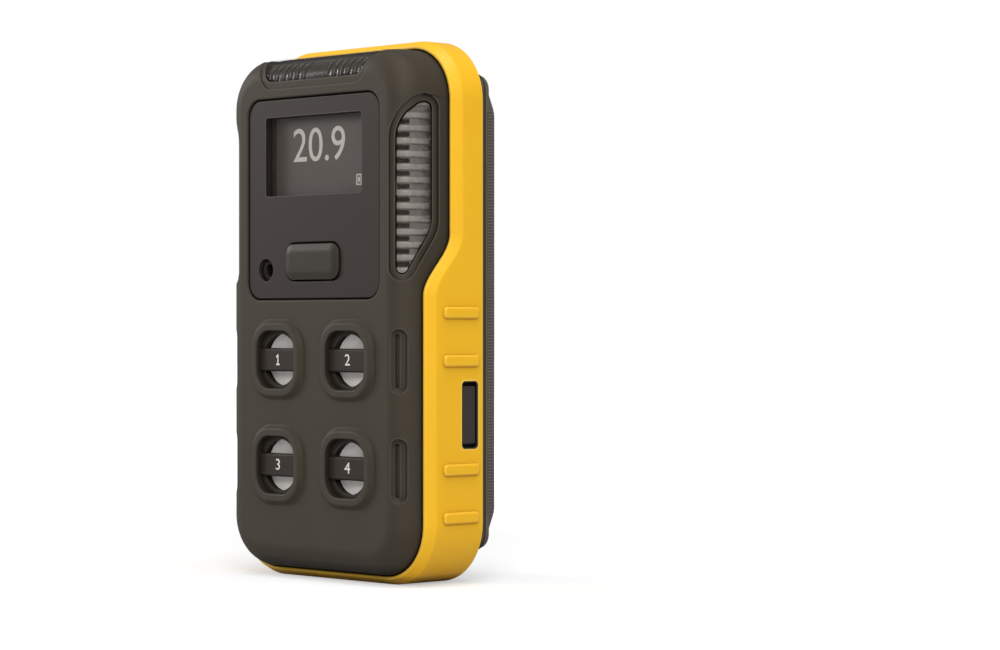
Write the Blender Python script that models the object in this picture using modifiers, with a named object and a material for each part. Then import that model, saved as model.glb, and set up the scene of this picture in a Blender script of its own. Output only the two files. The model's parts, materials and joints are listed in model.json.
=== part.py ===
"""Portable four-gas detector, modelled as the pieces that it comes apart into on a bench.

Units are metres. X runs across the face, Y from the face to the back and Z up. Depths are measured
from the flat front face, and one empty shifts the assembly so that the origin lies on the ground
under the middle of its bounding box.
"""

import math

import bmesh
import bpy
from mathutils import Matrix, Vector

MM = 0.001

# Fits
CLEARANCE = 0.3 * MM
PIN_PLAY = 0.15 * MM
OVERLAP = 0.4 * MM
MERGE_DISTANCE = 0.001 * MM

# Shells
WALL = 2.0 * MM
BODY_CORNER = 12.0 * MM
FRONT_ROUND = 6.0 * MM
SKIRT_COVER = 0.4 * MM
GASKET_THICKNESS = 1.0 * MM
GASKET_INSET = 0.4 * MM
GASKET_WIDTH = 1.2 * MM

# Face layout, from the bottom up
PORT_LOW_MARGIN = 24.4 * MM
PORT_PITCH_Z = 24.9 * MM
PORT_PITCH_X = 25.0 * MM
PORT_TO_PANEL = 14.4 * MM
PANEL_HEIGHT = 47.1 * MM
PANEL_TOP_MARGIN = 10.3 * MM
PANEL_WIDTH = 46.8 * MM
PANEL_SIDE_MARGIN = 8.4 * MM
PANEL_CORNER = 4.0 * MM
PANEL_SINK = 0.4 * MM
PANEL_THICKNESS = 1.0 * MM
PANEL_LEDGE = 1.5 * MM
LEDGE_THICKNESS = 1.5 * MM
LEDGE_RIM = 1.0 * MM

# Sensor ports
PORT_OPENING = 13.0 * MM
PORT_OPENING_CORNER = 4.2 * MM
PORT_RECESS = 0.9 * MM
PORT_BORE_DIAMETER = 12.8 * MM
PORT_RIM = 3.1 * MM
PORT_RIM_HEIGHT = 1.0 * MM
PORT_RIM_ROUND = 0.8 * MM
PORT_BAR_HEIGHT = 5.0 * MM
PORT_BAR_SINK = 0.2 * MM
PORT_BAR_BACK_SINK = 0.4 * MM
PORT_BAR_CHAMFER = 0.6 * MM
INLET_LENGTH = 14.6 * MM
INLET_WIDTH = 4.0 * MM
INLET_DEPTH = 1.5 * MM
INLET_FORWARD = 1.1 * MM
INLET_END_FLAT = 0.02 * MM

# Gas sensors
SENSOR_DIAMETER = 20.2 * MM
SENSOR_LENGTH = 16.0 * MM
SENSOR_CAP_STEP = 1.2 * MM
SENSOR_PIN_DIAMETER = 1.5 * MM
SENSOR_PIN_CIRCLE = 13.0 * MM
SENSOR_PINS = 3
FILTER_DIAMETER = 12.4 * MM
FILTER_THICKNESS = 0.6 * MM
SEAL_WIDTH = 2.8 * MM
SEAL_THICKNESS = 1.0 * MM

# Display
VIEW_WIDTH = 34.0 * MM
VIEW_HEIGHT = 18.4 * MM
VIEW_TOP_MARGIN = 4.3 * MM
VIEW_BORDER = 0.4 * MM
WINDOW_MARGIN = 1.2 * MM
WINDOW_CORNER = 1.2 * MM
GLASS_MARGIN = 1.4 * MM
GLASS_THICKNESS = 1.6 * MM
BACKLIGHT_THICKNESS = 2.2 * MM
FRAME_WALL = 0.8 * MM
FRAME_LIP = 0.9 * MM

# Button and switch
BUTTON_WIDTH = 18.8 * MM
BUTTON_HEIGHT = 8.4 * MM
BUTTON_CORNER = 2.6 * MM
BUTTON_RAISE = 1.0 * MM
BUTTON_ROUND = 0.8 * MM
BUTTON_LOW_MARGIN = 8.6 * MM
BUTTON_FLANGE = 1.2 * MM
BUTTON_FLANGE_THICKNESS = 0.8 * MM
BUTTON_TRAVEL = 0.6 * MM
SWITCH_SIZE = 6.2 * MM
SWITCH_HEIGHT = 3.0 * MM
STEM_DIAMETER = 3.4 * MM
STEM_ENGAGE = 1.0 * MM

# Sounder
SOUND_HOLE_DIAMETER = 5.5 * MM
SOUND_HOLE_THROAT = 3.2 * MM
SOUND_HOLE_SIDE_MARGIN = 6.1 * MM
SOUND_HOLE_LOW_MARGIN = 6.8 * MM
SOUND_TUBE_WALL = 0.9 * MM
SOUNDER_DIAMETER = 8.4 * MM

# Alarm lights
LIGHT_SINK = 0.6 * MM
LIGHT_THICKNESS = 1.5 * MM
LIGHT_BEZEL = 1.5 * MM
LIGHT_BEZEL_SINK = 0.45 * MM
SIDE_LIGHT_INBOARD = 2.7 * MM
SIDE_LIGHT_DEPTH = 8.8 * MM
SIDE_LIGHT_TOP_MARGIN = 12.6 * MM
SIDE_LIGHT_HEIGHT = 39.5 * MM
SIDE_LIGHT_TOP_DROP = 4.6 * MM
SIDE_LIGHT_TOP_SHARE = 0.68
SIDE_LIGHT_LOW_RISE = 10.6 * MM
SIDE_LIGHT_LOW_SHARE = 0.7
SIDE_LIGHT_CORNER = 1.5 * MM
TOP_LIGHT_FRONT_WIDTH = 33.6 * MM
TOP_LIGHT_REAR_WIDTH = 45.0 * MM
TOP_LIGHT_DROP = 5.6 * MM
TOP_LIGHT_DEPTH = 9.0 * MM
TOP_LIGHT_CORNER = 2.6 * MM
LED_SIZE = 2.8 * MM
LED_HEIGHT = 1.6 * MM
LED_BAR_WIDTH = 22.0 * MM

# Boards
BOARD_THICKNESS = 1.6 * MM
BOARD_CORNER = 2.0 * MM
BOARD_SIDE_MARGIN = 5.0 * MM
BOARD_SENSOR_GAP = 1.5 * MM
BOARD_BOSS_GAP = 0.6 * MM
SENSOR_BOARD_SIDE_MARGIN = 3.5 * MM
POST_DIAMETER = 2.8 * MM
POST_SIDE_MARGIN = 2.6 * MM
POST_END_MARGIN = 2.2 * MM
HEADER_WIDTH = 14.0 * MM
HEADER_HEIGHT = 3.0 * MM
HEADER_SIDE_MARGIN = 1.8 * MM

# Battery
BATTERY_WIDTH = 44.0 * MM
BATTERY_THICKNESS = 11.0 * MM
BATTERY_ROUND = 1.5 * MM
BATTERY_RIB = 1.2 * MM
BATTERY_RIB_HEIGHT = 4.0 * MM
CONTACT_BLOCK_WIDTH = 10.0 * MM
CONTACT_BLOCK_HEIGHT = 5.0 * MM
CONTACT_BLOCK_SIDE_MARGIN = 5.0 * MM

# Vibration motor
MOTOR_DIAMETER = 6.0 * MM
MOTOR_LENGTH = 11.0 * MM
MOTOR_X = -12.0 * MM
MOTOR_MARGIN = 2.0 * MM
MOTOR_SHAFT_DIAMETER = 1.2 * MM
MOTOR_SHAFT_BORE = 3.0 * MM
MOTOR_WEIGHT_LENGTH = 3.4 * MM
MOTOR_WEIGHT_HUB = 2.6 * MM
MOTOR_CRADLE_WALL = 0.9 * MM
MOTOR_CRADLE_END = 1.0 * MM
MOTOR_CRADLE_SINK = 0.8 * MM

# Bumper band
BUMPER_WALL = 2.0 * MM
BUMPER_EDGE_LOW = 5.7 * MM
BUMPER_EDGE_HIGH = 13.9 * MM
BUMPER_LIP = 0.3 * MM
BUMPER_CHAMFER = 2.5 * MM
BUMPER_BACK_ROUND = 0.5 * MM
BEND_START = 0.4 * MM
BEND_HEIGHT = 14.1 * MM
GRIP_BAR_STEP = 11.0 * MM
GRIP_BAR_LENGTH = 11.0 * MM
GRIP_BAR_HEIGHT = 2.7 * MM
GRIP_BAR_RAISE = 0.8 * MM
GRIP_BAR_ROUND = 0.6 * MM
GRIP_BAR_BACK_MARGIN = 1.7 * MM
SLOT_LENGTH = 15.6 * MM
SLOT_WIDTH = 5.2 * MM
SLOT_CORNER = 1.0 * MM
SLOT_BACK_MARGIN = 1.6 * MM
PAD_THICKNESS = 1.6 * MM
PAD_ROUND = 0.35 * MM

# Rear shell
BACK_SPACE = 5.0 * MM
BACK_RAISE = 5.3 * MM
BACK_OVERHANG = 1.4 * MM
BACK_END_MARGIN = 5.2 * MM
BACK_TAPER = 7.4 * MM
BACK_SIDE_TAPER = 0.8 * MM
BACK_CORNER = 4.0 * MM
BACK_ROUND = 1.2 * MM
BAY_SIDE_MARGIN = 1.0 * MM
BAY_END_MARGIN = 1.5 * MM
BAY_CORNER = 3.0 * MM
STANDOFF_DIAMETER = 3.6 * MM
STANDOFF_SIDE_MARGIN = 4.3 * MM
CHARGE_PITCH = 6.0 * MM
CHARGE_DIAMETER = 2.4 * MM
CHARGE_LOW_MARGIN = 6.5 * MM
CHARGE_SINK = 0.3 * MM
CHARGE_COUNT = 4

# Screws
SCREW_DIAGONAL = 5.6 * MM
SCREW_SHANK = 2.0 * MM
SCREW_HEAD = 4.0 * MM
SCREW_HEAD_HEIGHT = 1.5 * MM
SCREW_SOCKET = 1.8 * MM
SCREW_SOCKET_DEPTH = 0.8 * MM
SCREW_ENGAGE = 6.0 * MM
BOSS_WALL = 1.4 * MM

# Belt clip
CLIP_WIDTH = 17.4 * MM
CLIP_SHEET = 1.2 * MM
CLIP_JAW_LENGTH = 14.0 * MM
CLIP_SCREW_LEAD = 2.8 * MM
CLIP_THUMB = 13.0 * MM
CLIP_THUMB_FLAT = 5.0 * MM
CLIP_THUMB_RAISE = 1.6 * MM
CLIP_TIP_LIP = 2.4 * MM
CLIP_TIP_RAISE = 0.9 * MM
CLIP_BEND = 2.5 * MM
CLIP_PIN_DIAMETER = 2.2 * MM
CLIP_PIN_HEAD = 3.6 * MM
CLIP_PIN_HEAD_HEIGHT = 0.6 * MM
CLIP_EAR_WALL = 1.0 * MM
CLIP_EAR_INSET = 0.1 * MM
CLIP_TOP_MARGIN = 18.0 * MM
CLIP_SCREW_PITCH = 10.0 * MM
SPRING_WIRE = 0.6 * MM
SPRING_GAP = 0.45 * MM
SPRING_PLAY = 0.4 * MM
SPRING_TURNS = 5.5
SPRING_LEG = 8.0 * MM

# Smoothness of the round forms
CORNER_STEPS = 7
PORT_STEPS = 5
ROUND_STEPS = 4
SMALL_STEPS = 3
EDGE_STEPS = 2
BEND_STEPS = 8
CIRCLE_STEPS = 20
SMALL_CIRCLE_STEPS = 12
PIN_STEPS = 6
HALF_CIRCLE_STEPS = 10
EAR_STEPS = 6
SPRING_STEPS = 9
SMOOTH_ANGLE = math.radians(35)

# Heights worked out from the layout
BODY_WIDTH = PANEL_WIDTH + 2 * PANEL_SIDE_MARGIN
HALF = BODY_WIDTH / 2
BODY_LOW = CLEARANCE + BUMPER_WALL
ROW_LOW = BODY_LOW + PORT_LOW_MARGIN
ROW_HIGH = ROW_LOW + PORT_PITCH_Z
ROW_MIDDLE = (ROW_LOW + ROW_HIGH) / 2
PANEL_LOW = ROW_HIGH + PORT_TO_PANEL
PANEL_HIGH = PANEL_LOW + PANEL_HEIGHT
PANEL_MIDDLE = (PANEL_LOW + PANEL_HIGH) / 2
BODY_HIGH = PANEL_HIGH + PANEL_TOP_MARGIN
BODY_HEIGHT = BODY_HIGH - BODY_LOW
BODY_MIDDLE = (BODY_LOW + BODY_HIGH) / 2
VIEW_MIDDLE = PANEL_HIGH - VIEW_TOP_MARGIN - VIEW_HEIGHT / 2
BUTTON_Z = PANEL_LOW + BUTTON_LOW_MARGIN
SOUND_X = -PANEL_WIDTH / 2 + SOUND_HOLE_SIDE_MARGIN
SOUND_Z = PANEL_LOW + SOUND_HOLE_LOW_MARGIN
BEND_LOW = PANEL_LOW + BEND_START
SENSOR_TOP = ROW_HIGH + SENSOR_DIAMETER / 2
MOTOR_Z = SENSOR_TOP + MOTOR_MARGIN + MOTOR_DIAMETER / 2
BOSS_RADIUS = SCREW_SHANK / 2 + CLEARANCE + BOSS_WALL
SCREW_X = HALF - BODY_CORNER + SCREW_DIAGONAL
SCREW_LOW_Z = BODY_LOW + BODY_CORNER - SCREW_DIAGONAL
SCREW_HIGH_Z = BODY_HIGH - BODY_CORNER + SCREW_DIAGONAL

# Depths worked out from the stack of pieces
PANEL_BACK = PANEL_SINK + PANEL_THICKNESS
SEAT = PANEL_BACK + CLEARANCE
LEDGE_BACK = SEAT + LEDGE_THICKNESS
GLASS_FRONT = SEAT + FRAME_LIP + CLEARANCE
BACKLIGHT_FRONT = GLASS_FRONT + GLASS_THICKNESS + CLEARANCE
BOARD_FRONT = BACKLIGHT_FRONT + BACKLIGHT_THICKNESS + CLEARANCE
BOARD_BACK = BOARD_FRONT + BOARD_THICKNESS
SEAL_FRONT = WALL + CLEARANCE
SENSOR_FRONT = SEAL_FRONT + SEAL_THICKNESS + CLEARANCE
SENSOR_BACK = SENSOR_FRONT + SENSOR_LENGTH
SENSOR_BOARD_FRONT = SENSOR_BACK + CLEARANCE
SENSOR_BOARD_BACK = SENSOR_BOARD_FRONT + BOARD_THICKNESS
BACK_INNER = SENSOR_BOARD_BACK + BACK_SPACE
BODY_DEPTH = BACK_INNER + WALL
FRONT_DEPTH = BUMPER_EDGE_HIGH + SKIRT_COVER
REAR_FRONT = FRONT_DEPTH + GASKET_THICKNESS + 2 * CLEARANCE
FLANGE_FRONT = BODY_DEPTH - BACK_RAISE
BUMPER_BACK = FLANGE_FRONT - CLEARANCE
TUB_BACK = FLANGE_FRONT - WALL
HEAD_SEAT = TUB_BACK
SCREW_LENGTH = HEAD_SEAT + CLEARANCE - FRONT_DEPTH + SCREW_ENGAGE
MOTOR_Y = (BOARD_BACK + SENSOR_BOARD_FRONT) / 2
BACK_LOW = BODY_LOW + BACK_END_MARGIN
BACK_HIGH = BODY_HIGH - BACK_END_MARGIN
BAY_LOW = BACK_LOW + BACK_TAPER + BAY_END_MARGIN
BAY_HIGH = BACK_HIGH - BACK_TAPER - BAY_END_MARGIN
SENSOR_BOARD_LOW = BAY_LOW + CLEARANCE
SENSOR_BOARD_HIGH = MOTOR_Z + MOTOR_DIAMETER / 2 + MOTOR_CRADLE_WALL + CLEARANCE
MAIN_BOARD_LOW = SENSOR_TOP + BOARD_SENSOR_GAP
MAIN_BOARD_HIGH = SCREW_HIGH_Z - BOSS_RADIUS - BOARD_BOSS_GAP
MAIN_BOARD_HALF = HALF - WALL - BOARD_SIDE_MARGIN
SENSOR_BOARD_HALF = HALF - WALL - SENSOR_BOARD_SIDE_MARGIN
HEADER_X = MAIN_BOARD_HALF - HEADER_SIDE_MARGIN - HEADER_WIDTH / 2
STANDOFF_X = SENSOR_BOARD_HALF - STANDOFF_SIDE_MARGIN
CONTACT_BLOCK_X = BATTERY_WIDTH / 2 - CONTACT_BLOCK_SIDE_MARGIN - CONTACT_BLOCK_WIDTH / 2
BATTERY_LOW = SENSOR_BOARD_HIGH + 2 * CLEARANCE
BATTERY_HIGH = BAY_HIGH - 2 * CLEARANCE
BATTERY_BACK = BACK_INNER - CLEARANCE
BATTERY_FRONT = BATTERY_BACK - BATTERY_THICKNESS

# Clip places, and the reach of the whole assembly
SPRING_RADIUS = CLIP_PIN_DIAMETER / 2 + SPRING_PLAY + SPRING_WIRE / 2
CLIP_PIN_HEIGHT = SPRING_RADIUS + SPRING_WIRE / 2 + CLEARANCE
CLIP_PLATE_FRONT = BODY_DEPTH + CLEARANCE
CLIP_PLATE_BACK = CLIP_PLATE_FRONT + CLIP_SHEET
CLIP_PIN_Y = CLIP_PLATE_BACK + CLIP_PIN_HEIGHT
CLIP_PIN_Z = BACK_HIGH - BACK_TAPER - CLIP_TOP_MARGIN
CLIP_SCREW_Z = BATTERY_LOW - CLEARANCE - BOSS_RADIUS
CLIP_ARM_FLAT = CLIP_PIN_Z - CLIP_SCREW_Z - CLIP_SCREW_LEAD
CLIP_ARM = CLIP_ARM_FLAT + CLIP_JAW_LENGTH
LEVER_HALF = CLIP_WIDTH / 2 - CLIP_SHEET - CLEARANCE
BACK_REACH = CLIP_PIN_Y + CLIP_PIN_HEIGHT + CLIP_SHEET + CLIP_THUMB_RAISE
DEPTH_SHIFT = -(BACK_REACH - PORT_RIM_HEIGHT) / 2

# Drawing planes: origin, across, up and the way an outline is extruded
DIAGONAL = math.sqrt(0.5)
FACE = (Vector((0, 0, 0)), Vector((1, 0, 0)), Vector((0, 0, 1)), Vector((0, 1, 0)))
SIDE = (Vector((0, 0, 0)), Vector((0, 1, 0)), Vector((0, 0, 1)), Vector((1, 0, 0)))
RIGHT_CORNER = (
    Vector((0, 0, 0)),
    Vector((DIAGONAL, DIAGONAL, 0)),
    Vector((0, 0, 1)),
    Vector((DIAGONAL, -DIAGONAL, 0)),
)
LEFT_CORNER = (
    Vector((0, 0, 0)),
    Vector((-DIAGONAL, DIAGONAL, 0)),
    Vector((0, 0, 1)),
    Vector((-DIAGONAL, -DIAGONAL, 0)),
)
TOP_CORNER = (
    Vector((0, 0, BODY_HIGH)),
    Vector((1, 0, 0)),
    Vector((0, DIAGONAL, DIAGONAL)),
    Vector((0, -DIAGONAL, DIAGONAL)),
)
CORNER_INNER = (HALF - WALL - LIGHT_THICKNESS - SIDE_LIGHT_DEPTH) * DIAGONAL
CORNER_OUTER = HALF * DIAGONAL + FRONT_ROUND
CORNER_SKIN = HALF * DIAGONAL - FRONT_ROUND * (math.sqrt(2) - 1)
TOP_INNER = -(TOP_LIGHT_DEPTH + WALL + LIGHT_THICKNESS) * DIAGONAL
TOP_OUTER = FRONT_ROUND


def clear_scene():
    """Remove every object that the scene starts with."""
    for item in list(bpy.data.objects):
        bpy.data.objects.remove(item, do_unlink=True)


def linear(hex_colour):
    """Linear colour of an sRGB hex value."""
    channels = [int(hex_colour[start:start + 2], 16) / 255 for start in (1, 3, 5)]
    return [c / 12.92 if c <= 0.04045 else ((c + 0.055) / 1.055) ** 2.4 for c in channels] + [1.0]


def finish(name, colour, roughness, metallic=0.0):
    """A plain material with a colour, a roughness and a metallic value."""
    material = bpy.data.materials.new(name)
    material.use_nodes = True
    shader = material.node_tree.nodes["Principled BSDF"]
    shader.inputs["Base Color"].default_value = linear(colour)
    shader.inputs["Roughness"].default_value = roughness
    shader.inputs["Metallic"].default_value = metallic
    material.diffuse_color = linear(colour)
    return material


class Assembly:
    """The collections, the shift of the whole assembly and the finishes that pieces share."""

    def __init__(self):
        self.parts = bpy.data.collections.new("portable_gas_detector")
        self.cutters = bpy.data.collections.new("cutters")
        for collection in (self.parts, self.cutters):
            bpy.context.scene.collection.children.link(collection)
        self.root = bpy.data.objects.new("assembly", None)
        self.root.location = (0, DEPTH_SHIFT, 0)
        self.parts.objects.link(self.root)
        self.finishes = {
            "shell": finish("shell_plastic", "#454138", 0.5),
            "rear": finish("rear_plastic", "#59524c", 0.6),
            "bumper": finish("bumper_plastic", "#edb32a", 0.45),
            "panel": finish("panel_plastic", "#413834", 0.35),
            "rubber": finish("black_rubber", "#2b2826", 0.7),
            "clear": finish("clear_plastic", "#8a837c", 0.1),
            "lens": finish("smoked_lens", "#7d756f", 0.2),
            "glass": finish("display_glass", "#5d5550", 0.1),
            "white": finish("white_membrane", "#d5d0ca", 0.8),
            "board": finish("circuit_board", "#1f5a34", 0.5),
            "sensor": finish("sensor_plastic", "#c9c4ba", 0.5),
            "steel": finish("steel", "#b9b9b9", 0.3, 1.0),
            "brass": finish("gold_plated_brass", "#d9b45a", 0.3, 1.0),
            "battery": finish("battery_wrap", "#2c4f8a", 0.5),
        }

    def add(self, name, bm, look):
        """Make a piece from a mesh in assembly coordinates."""
        bmesh.ops.recalc_face_normals(bm, faces=bm.faces)
        mesh = bpy.data.meshes.new(name)
        bm.to_mesh(mesh)
        bm.free()
        mesh.shade_smooth()
        mesh.set_sharp_from_angle(angle=SMOOTH_ANGLE)
        piece = bpy.data.objects.new(name, mesh)
        piece.parent = self.root
        if look is None:
            self.cutters.objects.link(piece)
            piece.hide_render = True
            piece.display_type = "WIRE"
        else:
            self.parts.objects.link(piece)
            mesh.materials.append(self.finishes[look])
        return piece

    def tool(self, name, bm):
        """Make a cutter, which shapes other pieces and isn't a piece itself."""
        return self.add(name, bm, None)


def combine(piece, tool, operation):
    """Cut, join or intersect a piece with a tool."""
    modifier = piece.modifiers.new(tool.name, "BOOLEAN")
    modifier.operation = operation
    modifier.solver = "EXACT"
    modifier.object = tool


def cut(piece, tool):
    """Take a tool's volume out of a piece."""
    combine(piece, tool, "DIFFERENCE")


def join(piece, tool):
    """Add a tool's volume to a piece."""
    combine(piece, tool, "UNION")


def place_origin(piece, point):
    """Put a moving piece's origin on its joint axis, with its shape left where it is."""
    piece.data.transform(Matrix.Translation(-Vector(point)))
    piece.location = point


def rectangle(width, height, middle=(0.0, 0.0)):
    """Corners of an upright rectangle, anticlockwise."""
    x, z = middle
    half_width = width / 2
    half_height = height / 2
    return [
        (x - half_width, z - half_height),
        (x + half_width, z - half_height),
        (x + half_width, z + half_height),
        (x - half_width, z + half_height),
    ]


def rounded(corners, radius, grow=0.0, steps=CORNER_STEPS):
    """Outline of a convex polygon with round corners, grown outwards all round."""
    points = []
    count = len(corners)
    for index in range(count):
        corner = Vector(corners[index])
        before = (Vector(corners[index - 1]) - corner).normalized()
        after = (Vector(corners[(index + 1) % count]) - corner).normalized()
        half = math.acos(max(-1.0, min(1.0, before.dot(after)))) / 2
        centre = corner + (before + after).normalized() * (radius / math.sin(half))
        foot = corner + before * (radius / math.tan(half)) - centre
        start = math.atan2(foot.y, foot.x)
        sweep = math.pi - 2 * half
        for step in range(steps + 1):
            angle = start + sweep * step / steps
            reach = radius + grow
            points.append((centre.x + reach * math.cos(angle), centre.y + reach * math.sin(angle)))
    return points


def add_prism(bm, outline, plane, low, high):
    """Extrude an outline, drawn in a plane, from low to high. Returns its two end faces."""
    origin, across, up, normal = plane
    verts = [bm.verts.new(origin + across * u + up * v + normal * low) for u, v in outline]
    near = bm.faces.new(verts)
    grown = bmesh.ops.extrude_face_region(bm, geom=[near])["geom"]
    moved = [item for item in grown if isinstance(item, bmesh.types.BMVert)]
    far = [item for item in grown if isinstance(item, bmesh.types.BMFace)][0]
    bmesh.ops.translate(bm, vec=normal * (high - low), verts=moved)
    return near, far


def round_face(bm, face, radius, steps=SMALL_STEPS):
    """Round the edges of an end face."""
    bmesh.ops.bevel(
        bm, geom=list(face.edges), offset=radius, segments=steps, profile=0.5, affect="EDGES"
    )


def add_box(bm, low, high):
    """Add an upright box between two corners. Returns its corner points."""
    low = Vector(low)
    high = Vector(high)
    size = high - low
    scale = Matrix.Diagonal((size.x, size.y, size.z, 1.0))
    return bmesh.ops.create_cube(bm, size=1.0, matrix=Matrix.Translation((low + high) / 2) @ scale)["verts"]


def add_turned(bm, profile, middle, axis, steps=CIRCLE_STEPS, closed=False):
    """Turn a profile of (radius, distance along the axis) round an axis through a point."""
    axis = Vector(axis)
    side = Vector((0, 0, 1))
    middle = Vector(middle)
    verts = [bm.verts.new(middle + side * radius + axis * along) for radius, along in profile]
    pairs = list(zip(verts, verts[1:]))
    if closed:
        pairs.append((verts[-1], verts[0]))
    edges = [bm.edges.new(pair) for pair in pairs]
    bmesh.ops.spin(
        bm, geom=verts + edges, cent=middle, axis=axis, angle=math.tau, steps=steps, use_merge=True
    )
    bmesh.ops.remove_doubles(bm, verts=bm.verts, dist=MERGE_DISTANCE)


def cylinder_profile(radius, low, high):
    """Profile of a plain solid cylinder."""
    return [(0.0, high), (radius, high), (radius, low), (0.0, low)]


def ring_profile(inner, outer, low, high):
    """Profile of a plain ring."""
    return [(inner, high), (outer, high), (outer, low), (inner, low)]


def body_outline(grow=0.0, steps=CORNER_STEPS):
    """Outline of the housings seen from the front."""
    return rounded(rectangle(BODY_WIDTH, BODY_HEIGHT, (0.0, BODY_MIDDLE)), BODY_CORNER, grow, steps)


def add_front_form(bm, inset):
    """Add the open front form, rounded to the face, moved inwards by an inset."""
    near, far = add_prism(bm, body_outline(-inset), FACE, inset, FRONT_DEPTH)
    round_face(bm, near, FRONT_ROUND - inset, ROUND_STEPS)
    bmesh.ops.recalc_face_normals(bm, faces=bm.faces)
    bmesh.ops.delete(bm, geom=[far], context="FACES_ONLY")


def thicken(piece, thickness):
    """Give an open form a wall on its inside."""
    modifier = piece.modifiers.new("wall", "SOLIDIFY")
    modifier.thickness = thickness
    modifier.offset = -1.0
    modifier.use_even_offset = True


def port_places():
    """Middles of the four sensor ports, left to right and top to bottom."""
    return [(side * PORT_PITCH_X / 2, z) for z in (ROW_HIGH, ROW_LOW) for side in (-1, 1)]


def screw_places():
    """Middles of the four housing screws."""
    return [(side * SCREW_X, z) for z in (SCREW_LOW_Z, SCREW_HIGH_Z) for side in (-1, 1)]


def side_light_outline(grow):
    """Outline of a side light seen square to its corner, cut off at the top front and low rear."""
    front = (HALF - SIDE_LIGHT_INBOARD) * DIAGONAL
    rear = (HALF + SIDE_LIGHT_DEPTH) * DIAGONAL
    top = BODY_HIGH - SIDE_LIGHT_TOP_MARGIN
    low = top - SIDE_LIGHT_HEIGHT
    corners = [
        (front, low),
        (rear - SIDE_LIGHT_LOW_SHARE * (rear - front), low),
        (rear, low + SIDE_LIGHT_LOW_RISE),
        (rear, top),
        (front + SIDE_LIGHT_TOP_SHARE * (rear - front), top),
        (front, top - SIDE_LIGHT_TOP_DROP),
    ]
    return rounded(corners, SIDE_LIGHT_CORNER, grow, SMALL_STEPS)


def top_light_outline(grow):
    """Outline of the top light seen square to the top edge, widening to the back."""
    front = -TOP_LIGHT_DROP * DIAGONAL
    rear = TOP_LIGHT_DEPTH * DIAGONAL
    corners = [
        (-TOP_LIGHT_FRONT_WIDTH / 2, front),
        (TOP_LIGHT_FRONT_WIDTH / 2, front),
        (TOP_LIGHT_REAR_WIDTH / 2, rear),
        (-TOP_LIGHT_REAR_WIDTH / 2, rear),
    ]
    return rounded(corners, TOP_LIGHT_CORNER, grow, SMALL_STEPS)


def light_windows():
    """Name, outline function, drawing plane and reach of each alarm light."""
    return [
        ("side_light_right", side_light_outline, RIGHT_CORNER, CORNER_INNER, CORNER_OUTER),
        ("side_light_left", side_light_outline, LEFT_CORNER, CORNER_INNER, CORNER_OUTER),
        ("top_light", top_light_outline, TOP_CORNER, TOP_INNER, TOP_OUTER),
    ]


def add_panel_seat(assembly, housing):
    """Thicken the wall behind the panel, then sink the panel's pocket and open its middle."""
    ledge = bmesh.new()
    panel = rectangle(PANEL_WIDTH, PANEL_HEIGHT, (0.0, PANEL_MIDDLE))
    add_prism(ledge, rounded(panel, PANEL_CORNER, LEDGE_RIM), FACE, WALL - OVERLAP, LEDGE_BACK)
    join(housing, assembly.tool("panel_ledge", ledge))
    pocket = bmesh.new()
    add_prism(pocket, rounded(panel, PANEL_CORNER, CLEARANCE), FACE, -WALL, SEAT)
    cut(housing, assembly.tool("panel_pocket", pocket))
    opening = bmesh.new()
    add_prism(opening, rounded(panel, PANEL_CORNER, -PANEL_LEDGE), FACE, 0.0, LEDGE_BACK + WALL)
    cut(housing, assembly.tool("panel_opening", opening))


def bar_section(z):
    """Section of the bar across a port, chamfered along its top and bottom front edges."""
    low = z - PORT_BAR_HEIGHT / 2
    high = z + PORT_BAR_HEIGHT / 2
    back = WALL - PORT_BAR_BACK_SINK
    slope = PORT_BAR_SINK + PORT_BAR_CHAMFER
    return [
        (slope, low),
        (back, low),
        (back, high),
        (slope, high),
        (PORT_BAR_SINK, high - PORT_BAR_CHAMFER),
        (PORT_BAR_SINK, low + PORT_BAR_CHAMFER),
    ]


def add_ports(assembly, housing):
    """Raise the rims of the sensor ports, sink and bore them and leave a bar across each."""
    rims = bmesh.new()
    recesses = bmesh.new()
    bores = bmesh.new()
    bars = bmesh.new()
    for middle in port_places():
        square = rectangle(PORT_OPENING, PORT_OPENING, middle)
        outline = rounded(square, PORT_OPENING_CORNER, PORT_RIM, PORT_STEPS)
        near, _ = add_prism(rims, outline, FACE, -PORT_RIM_HEIGHT, OVERLAP)
        round_face(rims, near, PORT_RIM_ROUND, EDGE_STEPS)
        outline = rounded(square, PORT_OPENING_CORNER, 0.0, PORT_STEPS)
        add_prism(recesses, outline, FACE, -PORT_RIM_HEIGHT - WALL, PORT_RECESS)
        profile = cylinder_profile(PORT_BORE_DIAMETER / 2, 0.0, 2 * WALL)
        add_turned(bores, profile, (middle[0], 0, middle[1]), (0, 1, 0))
        reach = PORT_OPENING / 2 + OVERLAP
        add_prism(bars, bar_section(middle[1]), SIDE, middle[0] - reach, middle[0] + reach)
    join(housing, assembly.tool("port_rims", rims))
    cut(housing, assembly.tool("port_recesses", recesses))
    cut(housing, assembly.tool("port_bores", bores))
    join(housing, assembly.tool("port_bars", bars))


def add_inlets(assembly, housing):
    """Sink the pill-shaped recesses into the corners beside the ports."""
    pills = bmesh.new()
    middle = HALF * DIAGONAL - INLET_FORWARD
    floor = CORNER_SKIN - INLET_DEPTH
    for plane in (RIGHT_CORNER, LEFT_CORNER):
        for z in (ROW_LOW, ROW_HIGH):
            corners = rectangle(INLET_WIDTH, INLET_LENGTH, (middle, z))
            outline = rounded(corners, (INLET_WIDTH - INLET_END_FLAT) / 2, 0.0, SMALL_STEPS)
            add_prism(pills, outline, plane, floor, CORNER_OUTER)
    cut(housing, assembly.tool("inlet_recesses", pills))


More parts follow.
